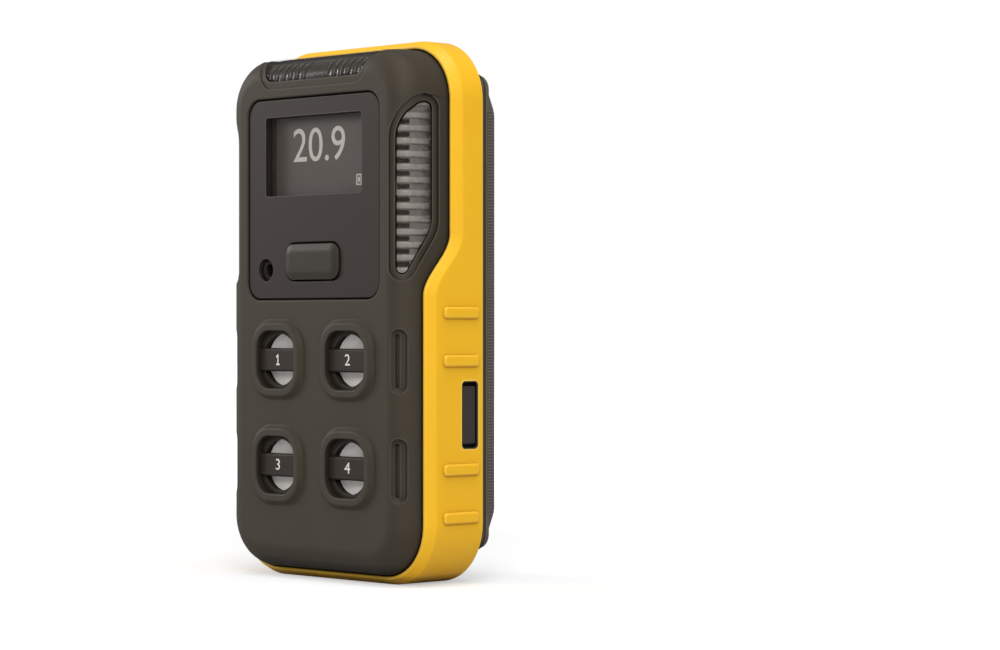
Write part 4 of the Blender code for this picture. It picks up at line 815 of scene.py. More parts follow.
# Liquid-crystal cell: grey field, with its dot grid just showing
CELL = GridFinish(
    "liquid_crystal_cell", "#615953", "#655d57", 0.35, grain_mm=3.0, grain_depth_mm=0.002,
    constants={"IOR": 1.52}, grid_mm=0.42, grid_colour="#4a433e", grid_share=0.35,
)
# Pale marking ink, pad printed: matt, with a slightly broken film
INK = Finish(
    "pale_marking_ink", "#eae2d7", "#ded6cb", 0.6, grain_mm=0.3, grain_depth_mm=0.006, drift_mm=1.5,
)
# Expanded PTFE membrane: chalk white, matt and faintly fibrous
MEMBRANE = Finish(
    "ptfe_membrane", "#faf6f1", "#f0ebe5", 0.8, grain_mm=0.25, grain_depth_mm=0.05, drift_mm=2.0,
    stretch=(1.0, 1.0, 0.35), constants={"IOR": 1.35},
)
# Stainless spring steel, brushed across the sheet: soft streaks along X
STEEL = Finish(
    "brushed_stainless_steel", "#b9b7b3", "#a5a29e", 0.32, roughness_spread=0.1, grain_mm=0.12,
    grain_depth_mm=0.006, drift_mm=6.0, metallic=1.0, stretch=(0.04, 1.0, 1.0), edge="#d8d6d2", edge_mm=0.25,
)
# Gold plate over nickel: warm, with light scuffs
GOLD = Finish(
    "gold_plate", "#d9b25a", "#c79c46", 0.25, roughness_spread=0.08, grain_mm=0.4, grain_depth_mm=0.004,
    drift_mm=1.2, metallic=1.0,
)
# Nickel-plated sensor can, drawn from sheet: grey and faintly streaked
CAN = Finish(
    "drawn_nickel_can", "#a7a49f", "#8f8c88", 0.35, roughness_spread=0.1, grain_mm=0.2,
    grain_depth_mm=0.005, drift_mm=8.0, metallic=1.0, stretch=(1.0, 0.06, 1.0),
)
# Glass-fibre board under solder mask: green, with the weave's grid faintly raised
BOARD = GridFinish(
    "solder_masked_glass_fibre", "#1d4a32", "#22553a", 0.4, grain_mm=0.5, grain_depth_mm=0.01,
    constants={"IOR": 1.55}, grid_mm=1.0, grid_colour="#16382a", grid_share=0.5,
)
# Shrink sleeve on the cells: dark blue, glossy and slightly rippled
SLEEVE = Finish(
    "shrink_sleeve", "#20304f", "#26385a", 0.3, grain_mm=2.5, grain_depth_mm=0.08, constants={"IOR": 1.54},
)
# White moulded polycarbonate of the light blocks
WHITE = Finish(
    "white_polycarbonate", "#e4e1da", "#dcd8d0", 0.45, grain_mm=0.4, grain_depth_mm=0.01,
    constants={"IOR": 1.58},
)


class Finishes:
    """The materials of the detector, each made once."""

    def __init__(self) -> None:
        """Start with no materials: each is made when it is first asked for."""
        self.made: dict[str, Material] = {}

    def get(self, finish: Finish) -> Material:
        """Give the material of a finish, making it at the first call.

        Args:
            finish: The finish that is wanted.

        Returns:
            Its material.
        """
        if finish.name not in self.made:
            self.made[finish.name] = finish.build()
        return self.made[finish.name]


def front_form(name: str, inset: float) -> Object:
    """Block out the front half's rounded form, moved inwards by an inset.

    Args:
        name: The object's name.
        inset: How far inside the skin it lies.

    Returns:
        The solid form.
    """
    low = (-HALF + inset, FACE_Y + inset, LOW + inset)
    high = (HALF - inset, SKIRT_Y, HIGH - inset)
    form = rounded_block(name, low, high, BODY_CORNER - inset, 20)
    front = FACE_Y + inset + TINY
    bevel_edges(form, lambda a, b: a.y < front and b.y < front, FRONT_ROUND - inset, 12)
    return form


@dataclass
class LightWindow:
    """One alarm light's outline, drawn square to the edge of the form that it lies on."""

    name: str
    size: tuple[float, float]
    middle: tuple[float, float]
    turn: tuple[float, float, float]
    origin: tuple[float, float, float]
    radii: tuple[tuple[float, float], ...]
    cuts: list[tuple[tuple[float, float], tuple[float, float]]]
    sink: float = 0.6 * MM
    bezel_sink: float = 0.45 * MM
    inner: float = 12.0 * MM
    outer: float = 30.0 * MM

    def skin(self) -> float:
        """Depth of the rounded edge's crest along the window's own axis."""
        middle = (HALF - FRONT_ROUND) * -DIAGONAL + FRONT_ROUND * DIAGONAL
        return middle - FRONT_ROUND

    def placed(self, piece: Object) -> Object:
        """Turn a piece that was made square to the axes onto the edge of the form."""
        piece.rotation_euler = self.turn
        piece.location = self.origin
        return settle(piece)

    def prism(self, name: str, grow: float) -> Object:
        """Make a solid through the skin with the light's outline.

        Args:
            name: The object's name.
            grow: How far the outline is moved outwards.

        Returns:
            The prism, in place.
        """
        low = (
            self.middle[0] - self.size[0] / 2 - grow, -self.outer, self.middle[1] - self.size[1] / 2 - grow
        )
        high = (
            self.middle[0] + self.size[0] / 2 + grow, -self.inner, self.middle[1] + self.size[1] / 2 + grow
        )
        prism = start_block(name, low, high)
        for (x, z), (across, up) in self.cuts:
            outwards = Vector((across, 0.0, up)).normalized()
            with editing(prism):
                bpy.ops.mesh.select_all(action="SELECT")
                bpy.ops.mesh.bisect(
                    plane_co=Vector((x, 0.0, z)) + outwards * grow,
                    plane_no=outwards,
                    use_fill=True,
                    clear_outer=True,
                )
        round_outline(prism, grow, self.radii, 10)
        return self.placed(prism)


def side_window() -> LightWindow:
    """Outline of the right alarm light: cut off at the top front and at the low rear."""
    front, rear = 20.58 * MM, 28.71 * MM
    low, top = 71.3 * MM, 110.8 * MM
    top_run, top_drop = 0.68 * (rear - front), 4.6 * MM
    low_run, low_rise = 0.70 * (rear - front), 10.6 * MM
    return LightWindow(
        name="side_light",
        size=(rear - front, top - low),
        middle=((front + rear) / 2, (low + top) / 2),
        turn=(0.0, 0.0, math.pi / 4),
        origin=(0.0, FACE_Y, 0.0),
        radii=((35.0, 8.0 * MM), (45.0, 3.0 * MM), (55.0, 8.0 * MM), (180.0, 1.5 * MM)),
        cuts=[
            ((front, top - top_drop), (-top_drop, top_run)),
            ((rear, low + low_rise), (low_rise, -low_run)),
        ],
    )


def top_window() -> LightWindow:
    """Outline of the top alarm light: wider at the back."""
    front, rear = -3.96 * MM, 6.36 * MM
    near, far = 33.6 * MM / 2, 45.0 * MM / 2
    slope = (rear - front, -(far - near))
    return LightWindow(
        name="top_light",
        size=(2 * far, rear - front),
        middle=(0.0, (front + rear) / 2),
        turn=(-math.pi / 4, 0.0, 0.0),
        origin=(0.0, FACE_Y, HIGH),
        radii=((180.0, 2.6 * MM),),
        sink=0.2 * MM,
        bezel_sink=0.25 * MM,
        cuts=[((far, rear), slope), ((-far, rear), (-slope[0], slope[1]))],
        inner=-6.0 * MM,
        outer=9.0 * MM,
    )


@dataclass
class FrontShell:
    """Moulded front shell with its port rims, inlets, panel seat and light openings."""

    finishes: Finishes
    opening: float = 13.7 * MM
    opening_corner: float = 4.4 * MM
    mouth_round: float = 0.3 * MM
    recess: float = 0.9 * MM
    bore: float = 12.2 * MM
    rim: float = 1.35 * MM
    rim_flank: float = 1.5 * MM
    bar_height: float = 5.5 * MM
    bar_sink: float = 0.2 * MM
    bar_chamfer: float = 0.4 * MM
    inlet_size: tuple[float, float] = (4.0 * MM, 14.6 * MM)
    inlet_forward: float = 1.1 * MM
    inlet_slope: float = 0.75 * MM
    inlet_floor: float = 0.95 * MM
    inlet_slide: float = 0.12 * MM
    groove_width: float = 1.05 * MM
    groove_length: float = 12.4 * MM
    groove_floor: float = 1.7 * MM
    bezel: float = 1.5 * MM
    bezel_edge: float = 0.18 * MM
    panel_gap: float = 0.3 * MM
    panel_corner: float = 4.0 * MM
    seat: float = 1.7 * MM

    def build(self) -> Object:
        """Model the shell, dress it and hand it over."""
        shell = front_form("front_shell", 0.0)
        with editing(shell):
            pick_faces(shell, flat_end(shell, BACK))
            bpy.ops.mesh.delete(type="FACE")
        apply_modifier(shell, "SOLIDIFY", thickness=WALL, offset=-1.0, use_even_offset=True)
        combine(shell, self.rims(), Joining.ADD)
        combine(shell, self.panel_pocket(), Joining.CUT)
        self.cut_lights(shell)
        combine(shell, self.port_cutters(), Joining.CUT)
        combine(shell, self.bores(), Joining.CUT)
        self.cut_inlets(shell)
        self.soften_bezels(shell)
        smooth(shell)
        bars = self.bars()
        smooth(bars)
        hand_over(bars, Body.HOUSING, "shell", self.finishes.get(PANEL))
        return hand_over(shell, Body.HOUSING, "shell", self.finishes.get(SHELL), "front_housing")

    def port_middles(self) -> list[tuple[float, float]]:
        """X and Z of the middle of each port, from its filter."""
        return [((low.x + high.x) / 2, (low.z + high.z) / 2) for low, high in PORTS]

    def at_ports(self, piece: Object) -> Object:
        """Copy a piece made round the origin to each port, as one object."""
        copies = [copy_of(piece, piece.name, (x, 0.0, z)) for x, z in self.port_middles()]
        discard(piece)
        return joined(copies)

    def rims(self) -> Object:
        """Soft raised rims, each swelling out of the face and levelling off at its crest."""
        grow = self.rim + self.rim_flank
        side = self.opening + 2 * grow
        reach = (FACE_Y + TINY, FACE_Y + WALL / 2)
        rim = plaque("port_rim", (side, side), (0.0, 0.0), reach, self.opening_corner + grow, 10)
        raise_rings(rim, FRONT, soft_step(self.rim_flank, RIM_RAISE + TINY, 9))
        return self.at_ports(rim)

    def port_cutters(self) -> Object:
        """Cutters of the port openings, with mouths that round over to the crest."""
        edge = self.mouth_round
        side = self.opening + 2 * edge
        front = FACE_Y - RIM_RAISE + TINY
        reach = (front - WALL, front)
        cutter = plaque("port_mouth", (side, side), (0.0, 0.0), reach, self.opening_corner + edge, 10)
        raise_rings(cutter, BACK, mouth_rings(edge, edge, 4) + [(edge, RIM_RAISE + self.recess)])
        return self.at_ports(cutter)

    def bores(self) -> Object:
        """Round bores through the wall behind the openings."""
        bore = start_rod("port_bore", self.bore / 2, FACE_Y, depth(4.0), (0.0, 0.0), 48)
        return self.at_ports(bore)

    def bars(self) -> Object:
        """Bars across the ports, chamfered along their top and bottom front edges."""
        reach = self.opening / 2 + 0.3 * MM
        front = FACE_Y + self.bar_sink
        low = (-reach, front, -self.bar_height / 2)
        high = (reach, depth(1.6), self.bar_height / 2)
        bar = start_block("port_bar", low, high)
        bevel_edges(
            bar, lambda a, b: max(a.y, b.y) < front + TINY and abs(a.z - b.z) < TINY, self.bar_chamfer, 1
        )
        slope = front + self.bar_chamfer + TINY
        bevel_edges(bar, lambda a, b: max(a.y, b.y) < slope and abs(a.x - b.x) > reach, 0.12 * MM, 3)
        return self.at_ports(bar)

    def panel_pocket(self) -> Object:
        """Cutter of the panel's seat, with a rounded edge at the face."""
        low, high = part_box("fascia_panel")
        edge = 0.45 * MM
        grow = self.panel_gap + edge
        size = (high.x - low.x + 2 * grow, high.z - low.z + 2 * grow)
        middle = ((low.x + high.x) / 2, (low.z + high.z) / 2)
        pocket = plaque("panel_pocket", size, middle, (FACE_Y - WALL, FACE_Y), self.panel_corner + grow, 10)
        mouth = mouth_rings(edge, edge, 4)
        ledge = edge + self.panel_gap + 1.5 * MM
        raise_rings(pocket, BACK, mouth + [(edge, self.seat), (ledge, self.seat), (ledge, 3 * WALL)])
        return pocket

    def cut_lights(self, shell: Object) -> None:
        """Sink a shallow bezel round each alarm light and cut its opening."""
        right, top = side_window(), top_window()
        for window, twin in ((right, False), (right, True), (top, False)):
            for cutter in (self.bezel_ring(window), window.prism("light_opening", 0.0)):
                if twin:
                    right_cutter = cutter
                    cutter = mirrored(right_cutter, "light_cutter")
                    discard(right_cutter)
                combine(shell, cutter, Joining.CUT)

    def bezel_ring(self, window: LightWindow) -> Object:
        """The thin layer of skin that is taken away round a light."""
        ring = window.prism("light_bezel", self.bezel)
        combine(ring, front_form("bezel_core", window.bezel_sink), Joining.CUT)
        return ring

    def cut_inlets(self, shell: Object) -> None:
        """Sink the pill-shaped inlets into the front corners beside the ports."""
        pill = self.inlet_mouth()
        combine(pill, self.inlet_groove(), Joining.ADD)
        for z in sorted({round(z, 5) for _, z in self.port_middles()}):
            cutter = copy_of(pill, "inlet", (0.0, 0.0, z))
            combine(shell, mirrored(cutter, "inlet_left"), Joining.CUT)
            combine(shell, cutter, Joining.CUT)
        discard(pill)

    def onto_corner(self, cutter: Object) -> Object:
        """Turn a cutter, made round the origin, square to the rounded corner and bring it there."""
        turn = math.pi / 4 - math.asin(self.inlet_forward / FRONT_ROUND)
        cutter.rotation_euler = (0.0, 0.0, turn)
        cutter.location = (HALF - FRONT_ROUND, FACE_Y + FRONT_ROUND, 0.0)
        return settle(cutter)

    def inlet_mouth(self) -> Object:
        """Cutter of an inlet's mouth: a pill whose walls slope in to a floor, set off to the right."""
        width, length = self.inlet_size
        edge = FRONT_ROUND - math.sqrt(FRONT_ROUND ** 2 - (width / 2) ** 2)
        reach = (-FRONT_ROUND - WALL, -FRONT_ROUND + edge)
        pill = plaque("inlet", (width, length), (0.0, 0.0), reach, width / 2 - TINY, 12)
        drop = self.inlet_floor - edge
        raise_rings(pill, BACK, [(0.12 * MM, 0.12 * MM), (self.inlet_slope, drop)])
        with editing(pill):
            pick_faces(pill, flat_end(pill, BACK))
            bpy.ops.transform.translate(value=(self.inlet_slide, 0.0, 0.0))
            bpy.ops.mesh.select_all(action="SELECT")
            bpy.ops.mesh.quads_convert_to_tris()
        return self.onto_corner(pill)

    def inlet_groove(self) -> Object:
        """Cutter of the deep groove along an inlet's floor."""
        floor = self.inlet_slide - self.inlet_size[0] / 2 + self.inlet_slope
        side = floor + 0.13 * MM + self.groove_width / 2
        reach = (-FRONT_ROUND, -FRONT_ROUND + self.groove_floor)
        size = (self.groove_width, self.groove_length)
        groove = plaque("groove", size, (side, 0.0), reach, self.groove_width / 2 - TINY, 8)
        return self.onto_corner(groove)

    def soften_bezels(self, shell: Object) -> None:
        """Round the sharp edges of the bezels and light openings."""
        right_low, right_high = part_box("side_light_right")
        top_low, top_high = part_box("top_light")
        margin = 2.5 * MM

        def by_light(start: Vector, end: Vector) -> bool:
            """Say whether an edge belongs to the surround of one of the lights."""
            beside = all(
                abs(p.x) > right_low.x - margin
                and p.y < right_high.y + margin
                and right_low.z - margin < p.z < right_high.z + margin
                for p in (start, end)
            )
            above = all(
                abs(p.x) < top_high.x + margin and p.y < top_high.y + margin and p.z > top_low.z - margin
                for p in (start, end)
            )
            return beside or above

        bevel_edges(shell, by_light, self.bezel_edge, 2, math.radians(40))


@dataclass
class AlarmLights:
    """Smoked lenses over ribbed light guides, in the top edge and the two front corners."""

    finishes: Finishes
    thickness: float = 0.7 * MM
    gap: float = 0.3 * MM
    guide_sink: float = 1.75 * MM
    rib_sink: float = 1.25 * MM
    rib_round: float = 0.4 * MM
    side_pitch: float = 2.95 * MM
    side_rib: float = 1.55 * MM
    pocket: tuple[float, float, float] = (3.2 * MM, 1.1 * MM, 6.5 * MM)
    top_pitch: float = 2.45 * MM
    top_rib: float = 1.45 * MM
    plain_middle: float = 7.5 * MM
    deep: float = 12.0 * MM

    def build(self) -> None:
        """Model the lenses and guides and hand them over."""
        window = side_window()
        lens = self.lens(window, "side_lens_right")
        guide = self.side_guide(window)
        left = (mirrored(lens, "side_lens_left"), mirrored(guide, "side_guide_left"))
        self.place(*left, GUIDE, "side_light_left")
        self.place(lens, guide, GUIDE, "side_light_right")
        window = top_window()
        self.place(self.lens(window, "top_lens"), self.top_guide(window), DARK_GUIDE, "top_light")

    def place(self, lens: Object, guide: Object, finish: Finish, node: str) -> None:
        """Smooth a lens and its guide and hand both over."""
        smooth(lens)
        smooth(guide, 50.0)
        hand_over(lens, Body.HOUSING, "lens", self.finishes.get(COVER), node)
        hand_over(guide, Body.HOUSING, "lens", self.finishes.get(finish))

    def lens(self, window: LightWindow, name: str) -> Object:
        """A skin of even thickness that follows the shell's form inside the light's opening."""
        lens = front_form(name, window.sink)
        combine(lens, window.prism("lens_outline", -self.gap), Joining.COMMON)
        combine(lens, front_form("lens_core", window.sink + self.thickness), Joining.CUT)
        return lens

    def beside(self, name: str, sink: float, low: float, high: float, deep: float) -> Object:
        """A block behind the right corner of the form, between two heights.

        Args:
            name: The object's name.
            sink: How far it lies below the skin.
            low: Its lower end.
            high: Its upper end.
            deep: How far it reaches inwards.

        Returns:
            The block, its outer corner rounded like the skin.
        """
        near = Vector((HALF - sink, FACE_Y + sink))
        block = start_block(name, (near.x - deep, near.y, low), (near.x, near.y + deep, high))
        self.round_corner(block, sink, lambda place: abs(place.x - near.x) + abs(place.y - near.y) < TINY)
        return block

    def above(self, name: str, sink: float, low: float, high: float, deep: float) -> Object:
        """A block behind the top front edge of the form, between two places across it.

        Args:
            name: The object's name.
            sink: How far it lies below the skin.
            low: Its left end.
            high: Its right end.
            deep: How far it reaches inwards.

        Returns:
            The block, its outer edge rounded like the skin.
        """
        near = Vector((FACE_Y + sink, HIGH - sink))
        block = start_block(name, (low, near.x, near.y - deep), (high, near.x + deep, near.y))
        self.round_corner(block, sink, lambda place: abs(place.y - near.x) + abs(place.z - near.y) < TINY)
        return block

    def round_corner(self, block: Object, sink: float, on_corner: Callable[[Vector], bool]) -> None:
        """Round the outer corner of a block like the skin above it."""
        bevel_edges(block, lambda a, b: on_corner(a) and on_corner(b), FRONT_ROUND - sink, 14)

    def soft_rib(self, rib: Object, axis: Vector) -> Object:
        """Round the long edges of a rib, on both of its ends along an axis."""
        ends = [point.co.dot(axis) for point in rib.data.vertices]
        low, high = min(ends), max(ends)

        def on_end(first: Vector, second: Vector) -> bool:
            """Say whether an edge lies on one end of the rib."""
            places = (first.dot(axis), second.dot(axis))
            return max(places) < low + TINY or min(places) > high - TINY

        bevel_edges(rib, on_end, self.rib_round, 4)
        return rib

    def side_guide(self, window: LightWindow) -> Object:
        """Light guide of the right side: level ribs, with a dark pocket at the front end of each gap."""
        low = window.middle[1] - window.size[1] / 2
        top = low + window.size[1]
        front = window.middle[0] - window.size[0] / 2
        guide = self.beside("side_guide_right", self.guide_sink, low - WALL, top + WALL, self.deep)
        axis = Vector((0.0, 0.0, 1.0))
        wide, tall, down = self.pocket
        skin = window.skin()
        for index in range(int(window.size[1] / self.side_pitch) + 1):
            start = low + index * self.side_pitch
            rib = self.beside("rib", self.rib_sink, start, start + self.side_rib, self.deep - WALL)
            combine(guide, self.soft_rib(rib, axis), Joining.ADD)
            middle = start + (self.side_rib + self.side_pitch) / 2
            pocket = start_block(
                "pocket",
                (front - WALL, skin - WALL, middle - tall / 2),
                (front + wide, skin + down, middle + tall / 2),
            )
            bevel_edges(pocket, runs_back, 0.3 * MM, 3)
            combine(guide, window.placed(pocket), Joining.CUT)
        combine(guide, window.prism("guide_outline", -self.gap), Joining.COMMON)
        return guide

    def top_guide(self, window: LightWindow) -> Object:
        """Light guide of the top: ribs that run front to back on both sides of a plain middle."""
        half = window.size[0] / 2 + WALL
        guide = self.above("top_guide", self.guide_sink, -half, half, self.deep)
        axis = Vector((1.0, 0.0, 0.0))
        middle = self.plain_middle / 2
        spans = [(-middle, middle)]
        start = middle + self.top_pitch - self.top_rib
        while start + self.top_rib < half:
            spans += [(start, start + self.top_rib), (-start - self.top_rib, -start)]
            start += self.top_pitch
        for low, high in spans:
            rib = self.above("rib", self.rib_sink, low, high, self.deep - WALL)
            combine(guide, self.soft_rib(rib, axis), Joining.ADD)
        combine(guide, window.prism("guide_outline", -self.gap), Joining.COMMON)
        return guide


@dataclass
class FacePanel:
    """Fascia with the display behind its window, the button and the sound hole."""

    finishes: Finishes
    corner: float = 4.0 * MM
    window_size: tuple[float, float] = (34.4 * MM, 18.6 * MM)
    window_corner: float = 0.7 * MM
    window_gap: float = 0.05 * MM
    view_size: tuple[float, float] = (32.4 * MM, 18.3 * MM)
    button_size: tuple[float, float] = (18.8 * MM, 8.4 * MM)
    button_corner: float = 2.6 * MM
    button_gap: float = 0.3 * MM
    sound_place: tuple[float, float] = (-17.3 * MM, 72.8 * MM)
    sound_mouth: float = 5.3 * MM
    sound_edge: float = 0.2 * MM
    figure_height: float = 7.9 * MM
    figure_place: tuple[float, float] = (-0.7 * MM, 2.1 * MM)
    sign_place: tuple[float, float] = (13.5 * MM, -6.2 * MM)

    def build(self) -> None:
        """Model the panel's pieces and hand them over."""
        self.panel()
        self.display()
        self.button()

    def panel(self) -> None:
        """Plate with a soft outer edge, the window's aperture, the button's hole and the sound hole."""
        low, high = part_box("fascia_panel")
        panel = rounded_block("fascia", low, high, self.corner, 10)
        front = low.y
        bevel_edges(panel, lambda a, b: max(a.y, b.y) < front + TINY, 0.3 * MM, 3)
        middle = self.middle(*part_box("display_window"))
        hole = self.hole("window_hole", self.window_size, middle, self.window_corner, front, 0.05 * MM)
        combine(panel, hole, Joining.CUT)
        size = (self.button_size[0] + 2 * self.button_gap, self.button_size[1] + 2 * self.button_gap)
        middle = self.middle(*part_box("power_button"))
        hole = self.hole("button_hole", size, middle, self.button_corner + self.button_gap, front, 0.35 * MM)
        combine(panel, hole, Joining.CUT)
        edge = self.sound_edge
        hole = start_rod("sound_hole", self.sound_mouth / 2 + edge, front - WALL, front, self.sound_place, 48)
        raise_rings(hole, BACK, mouth_rings(edge, edge, 3) + [(edge, 2 * WALL)])
        combine(panel, hole, Joining.CUT)
        smooth(panel)
        hand_over(panel, Body.HOUSING, "panel", self.finishes.get(PANEL), "fascia_panel")

    def middle(self, low: Vector, high: Vector) -> tuple[float, float]:
        """X and Z of the middle of a box."""
        return (low.x + high.x) / 2, (low.z + high.z) / 2

    def hole(
        self,
        name: str,
        size: tuple[float, float],
        middle: tuple[float, float],
        corner: float,
        front: float,
        edge: float,
    ) -> Object:
        """Cutter of a hole whose mouth is rounded over.

        Args:
            name: The object's name.
            size: Width and height of the hole.
            middle: X and Z of its middle.
            corner: Radius of its corners.
            front: World Y of the face that it is cut in.
            edge: Radius of its rounded mouth.

        Returns:
            The cutter.
        """
        grown = (size[0] + 2 * edge, size[1] + 2 * edge)
        cutter = plaque(name, grown, middle, (front - WALL, front), corner + edge, 8)
        mouth = mouth_rings(edge, edge, 3)
        raise_rings(cutter, BACK, mouth + [(edge, 2 * WALL)])
        return cutter

    def display(self) -> None:
        """Clear pane, and the cell behind it with its mask, figures and battery sign."""
        low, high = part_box("display_window")
        middle = self.middle(low, high)
        size = (self.window_size[0] - 2 * self.window_gap, self.window_size[1] - 2 * self.window_gap)
        reach = (low.y + 0.03 * MM, low.y + 0.75 * MM)
        pane = plaque("display_pane", size, middle, reach, self.window_corner, 6)
        bevel_edges(pane, lambda a, b: max(a.y, b.y) < reach[0] + TINY, 0.05 * MM, 1)
        smooth(pane)
        hand_over(pane, Body.HOUSING, "clear", self.finishes.get(PANE), "display_window")
        low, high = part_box("lcd_glass")
        cell = rounded_block("display_cell", low, high, 0.5 * MM, 3)
        bevel_edges(cell, lambda a, b: max(a.y, b.y) < low.y + TINY, 0.2 * MM, 2)
        smooth(cell)
        hand_over(cell, Body.HOUSING, "glass", self.finishes.get(CELL), "lcd_glass")
        mask_low = low - Vector((0.0, 0.12 * MM, 0.0))
        mask = rounded_block("display_mask", mask_low, (high.x, low.y - 0.02 * MM, high.z), 0.5 * MM, 3)
        view = plaque("mask_view", self.view_size, middle, (low.y - WALL, low.y + WALL), 0.3 * MM, 3)
        combine(mask, view, Joining.CUT)
        hand_over(mask, Body.HOUSING, "glass", self.finishes.get(PANEL))
        place = (middle[0] + self.figure_place[0], middle[1] + self.figure_place[1])
        figures = lettering("display_figures", "20.9", self.figure_height, place, low.y, 1.0)
        hand_over(figures, Body.HOUSING, "white", self.finishes.get(INK))
        sign = self.battery_sign((middle[0] + self.sign_place[0], middle[1] + self.sign_place[1]), low.y)
        hand_over(sign, Body.HOUSING, "white", self.finishes.get(INK))

    def battery_sign(self, middle: tuple[float, float], face: float) -> Object:
        """Small battery sign: an outline with a filled bar inside."""
        size = (1.9 * MM, 2.6 * MM)
        reach = (face - 0.05 * MM, face + 0.05 * MM)
        sign = plaque("battery_sign", size, middle, reach, 0.2 * MM, 2)
        inside = (size[0] - 0.7 * MM, size[1] - 0.7 * MM)
        cutter = plaque("sign_inside", inside, middle, (face - WALL, face + WALL), 0.1 * MM, 1)
        combine(sign, cutter, Joining.CUT)
        bar = plaque("sign_bar", (0.7 * MM, 1.2 * MM), middle, reach, 0.1 * MM, 1)
        return joined([sign, bar])

    def button(self) -> None:
        """Button cap with a broad soft chamfer round a slightly crowned top."""
        low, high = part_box("power_button")
        middle = self.middle(low, high)
        rise = 0.95 * MM
        reach = (low.y + rise, high.y)
        cap = plaque("push_button", self.button_size, middle, reach, self.button_corner, 8)
        rings = [(0.0, 0.3 * MM), (0.06 * MM, 0.4 * MM), (0.2 * MM, 0.48 * MM), (1.35 * MM, 0.84 * MM)]
        rings += [(1.55 * MM, 0.89 * MM), (1.8 * MM, 0.92 * MM), (2.3 * MM, rise)]
        raise_rings(cap, FRONT, rings)
        smooth(cap, 40.0)
        hand_over(cap, Body.BUTTON, "rubber", self.finishes.get(KEY), "power_button")


def lettering(
    name: str, words: str, height: float, middle: tuple[float, float], face: float, narrow: float
) -> Object:
    """Thin raised figures on a face that looks to the front.

    Args:
        name: The object's name.
        words: The figures.
        height: Height of a figure.
        middle: X and Z of the middle of the line.
        face: World Y of the face that they lie on.
        narrow: Share of the letters' own width that is kept.

    Returns:
        The figures as a mesh.
    """
    bpy.ops.object.text_add()
    text = bpy.context.object
    text.name = name
    text.data.body = words
    text.data.align_x = "CENTER"
    text.data.align_y = "CENTER"
    text.data.extrude = 0.02
    activate(text)
    bpy.ops.object.convert(target="MESH")
    mesh = bpy.context.object
    tall = max(point.co.y for point in mesh.data.vertices) - min(point.co.y for point in mesh.data.vertices)
    size = height / tall
    mesh.scale = (size * narrow, size, 0.06 * MM / 0.04)
    mesh.rotation_euler = (math.pi / 2, 0.0, 0.0)
    mesh.location = (middle[0], face, middle[1])
    settle(mesh)
    with editing(mesh):
        bpy.ops.mesh.select_all(action="SELECT")
        bpy.ops.mesh.remove_doubles(threshold=0.001 * MM)
        bpy.ops.mesh.normals_make_consistent(inside=False)
    return mesh


@dataclass
class PortFittings:
    """Membranes behind the ports, and the number on each port's bar."""

    finishes: Finishes
    bar_sink: float = 0.2 * MM
    figure_height: float = 2.6 * MM

    def build(self) -> None:
        """Model the membranes and numbers and hand them over."""
        for index, (low, high) in enumerate(PORTS, start=1):
            middle = ((low.x + high.x) / 2, (low.z + high.z) / 2)
            disc = start_rod(f"membrane_{index}", (high.x - low.x) / 2, low.y, high.y, middle, 48)
            raise_rings(disc, FRONT, [(0.25 * MM, 0.0), (0.5 * MM, -0.08 * MM), (2.5 * MM, -0.03 * MM)])
            smooth(disc)
            hand_over(disc, Body.HOUSING, "white", self.finishes.get(MEMBRANE), f"sensor_filter_{index}")
            face = FACE_Y + self.bar_sink
            name = f"port_number_{index}"
            if index == 1:
                number = self.figure_one(name, middle, face)
            else:
                number = lettering(name, str(index), self.figure_height, middle, face, 1.1)
            hand_over(number, Body.HOUSING, "white", self.finishes.get(INK))


    def figure_one(self, name: str, middle: tuple[float, float], face: float) -> Object:
        """A one with a flag and a foot, which the built-in letters lack.

        Args:
            name: The object's name.
            middle: X and Z of its middle.
            face: World Y of the face that it lies on.

        Returns:
            The figure.
        """
        stroke, tall = 0.36 * MM, self.figure_height
        reach = (face - 0.03 * MM, face + 0.03 * MM)
        figure = plaque(name, (stroke, tall), middle, reach, 0.05 * MM, 2)
        foot_middle = (middle[0], middle[1] - tall / 2 + stroke / 2)
        combine(figure, plaque("foot", (1.25 * MM, stroke), foot_middle, reach, 0.05 * MM, 2), Joining.ADD)
        flag = plaque("flag", (stroke, 0.95 * MM), (0.0, 0.0), reach, 0.05 * MM, 2)
        flag.rotation_euler = (0.0, math.radians(52), 0.0)
        flag.location = (middle[0] - 0.24 * MM, 0.0, middle[1] + tall / 2 - 0.42 * MM)
        combine(figure, settle(flag), Joining.ADD)
        return figure


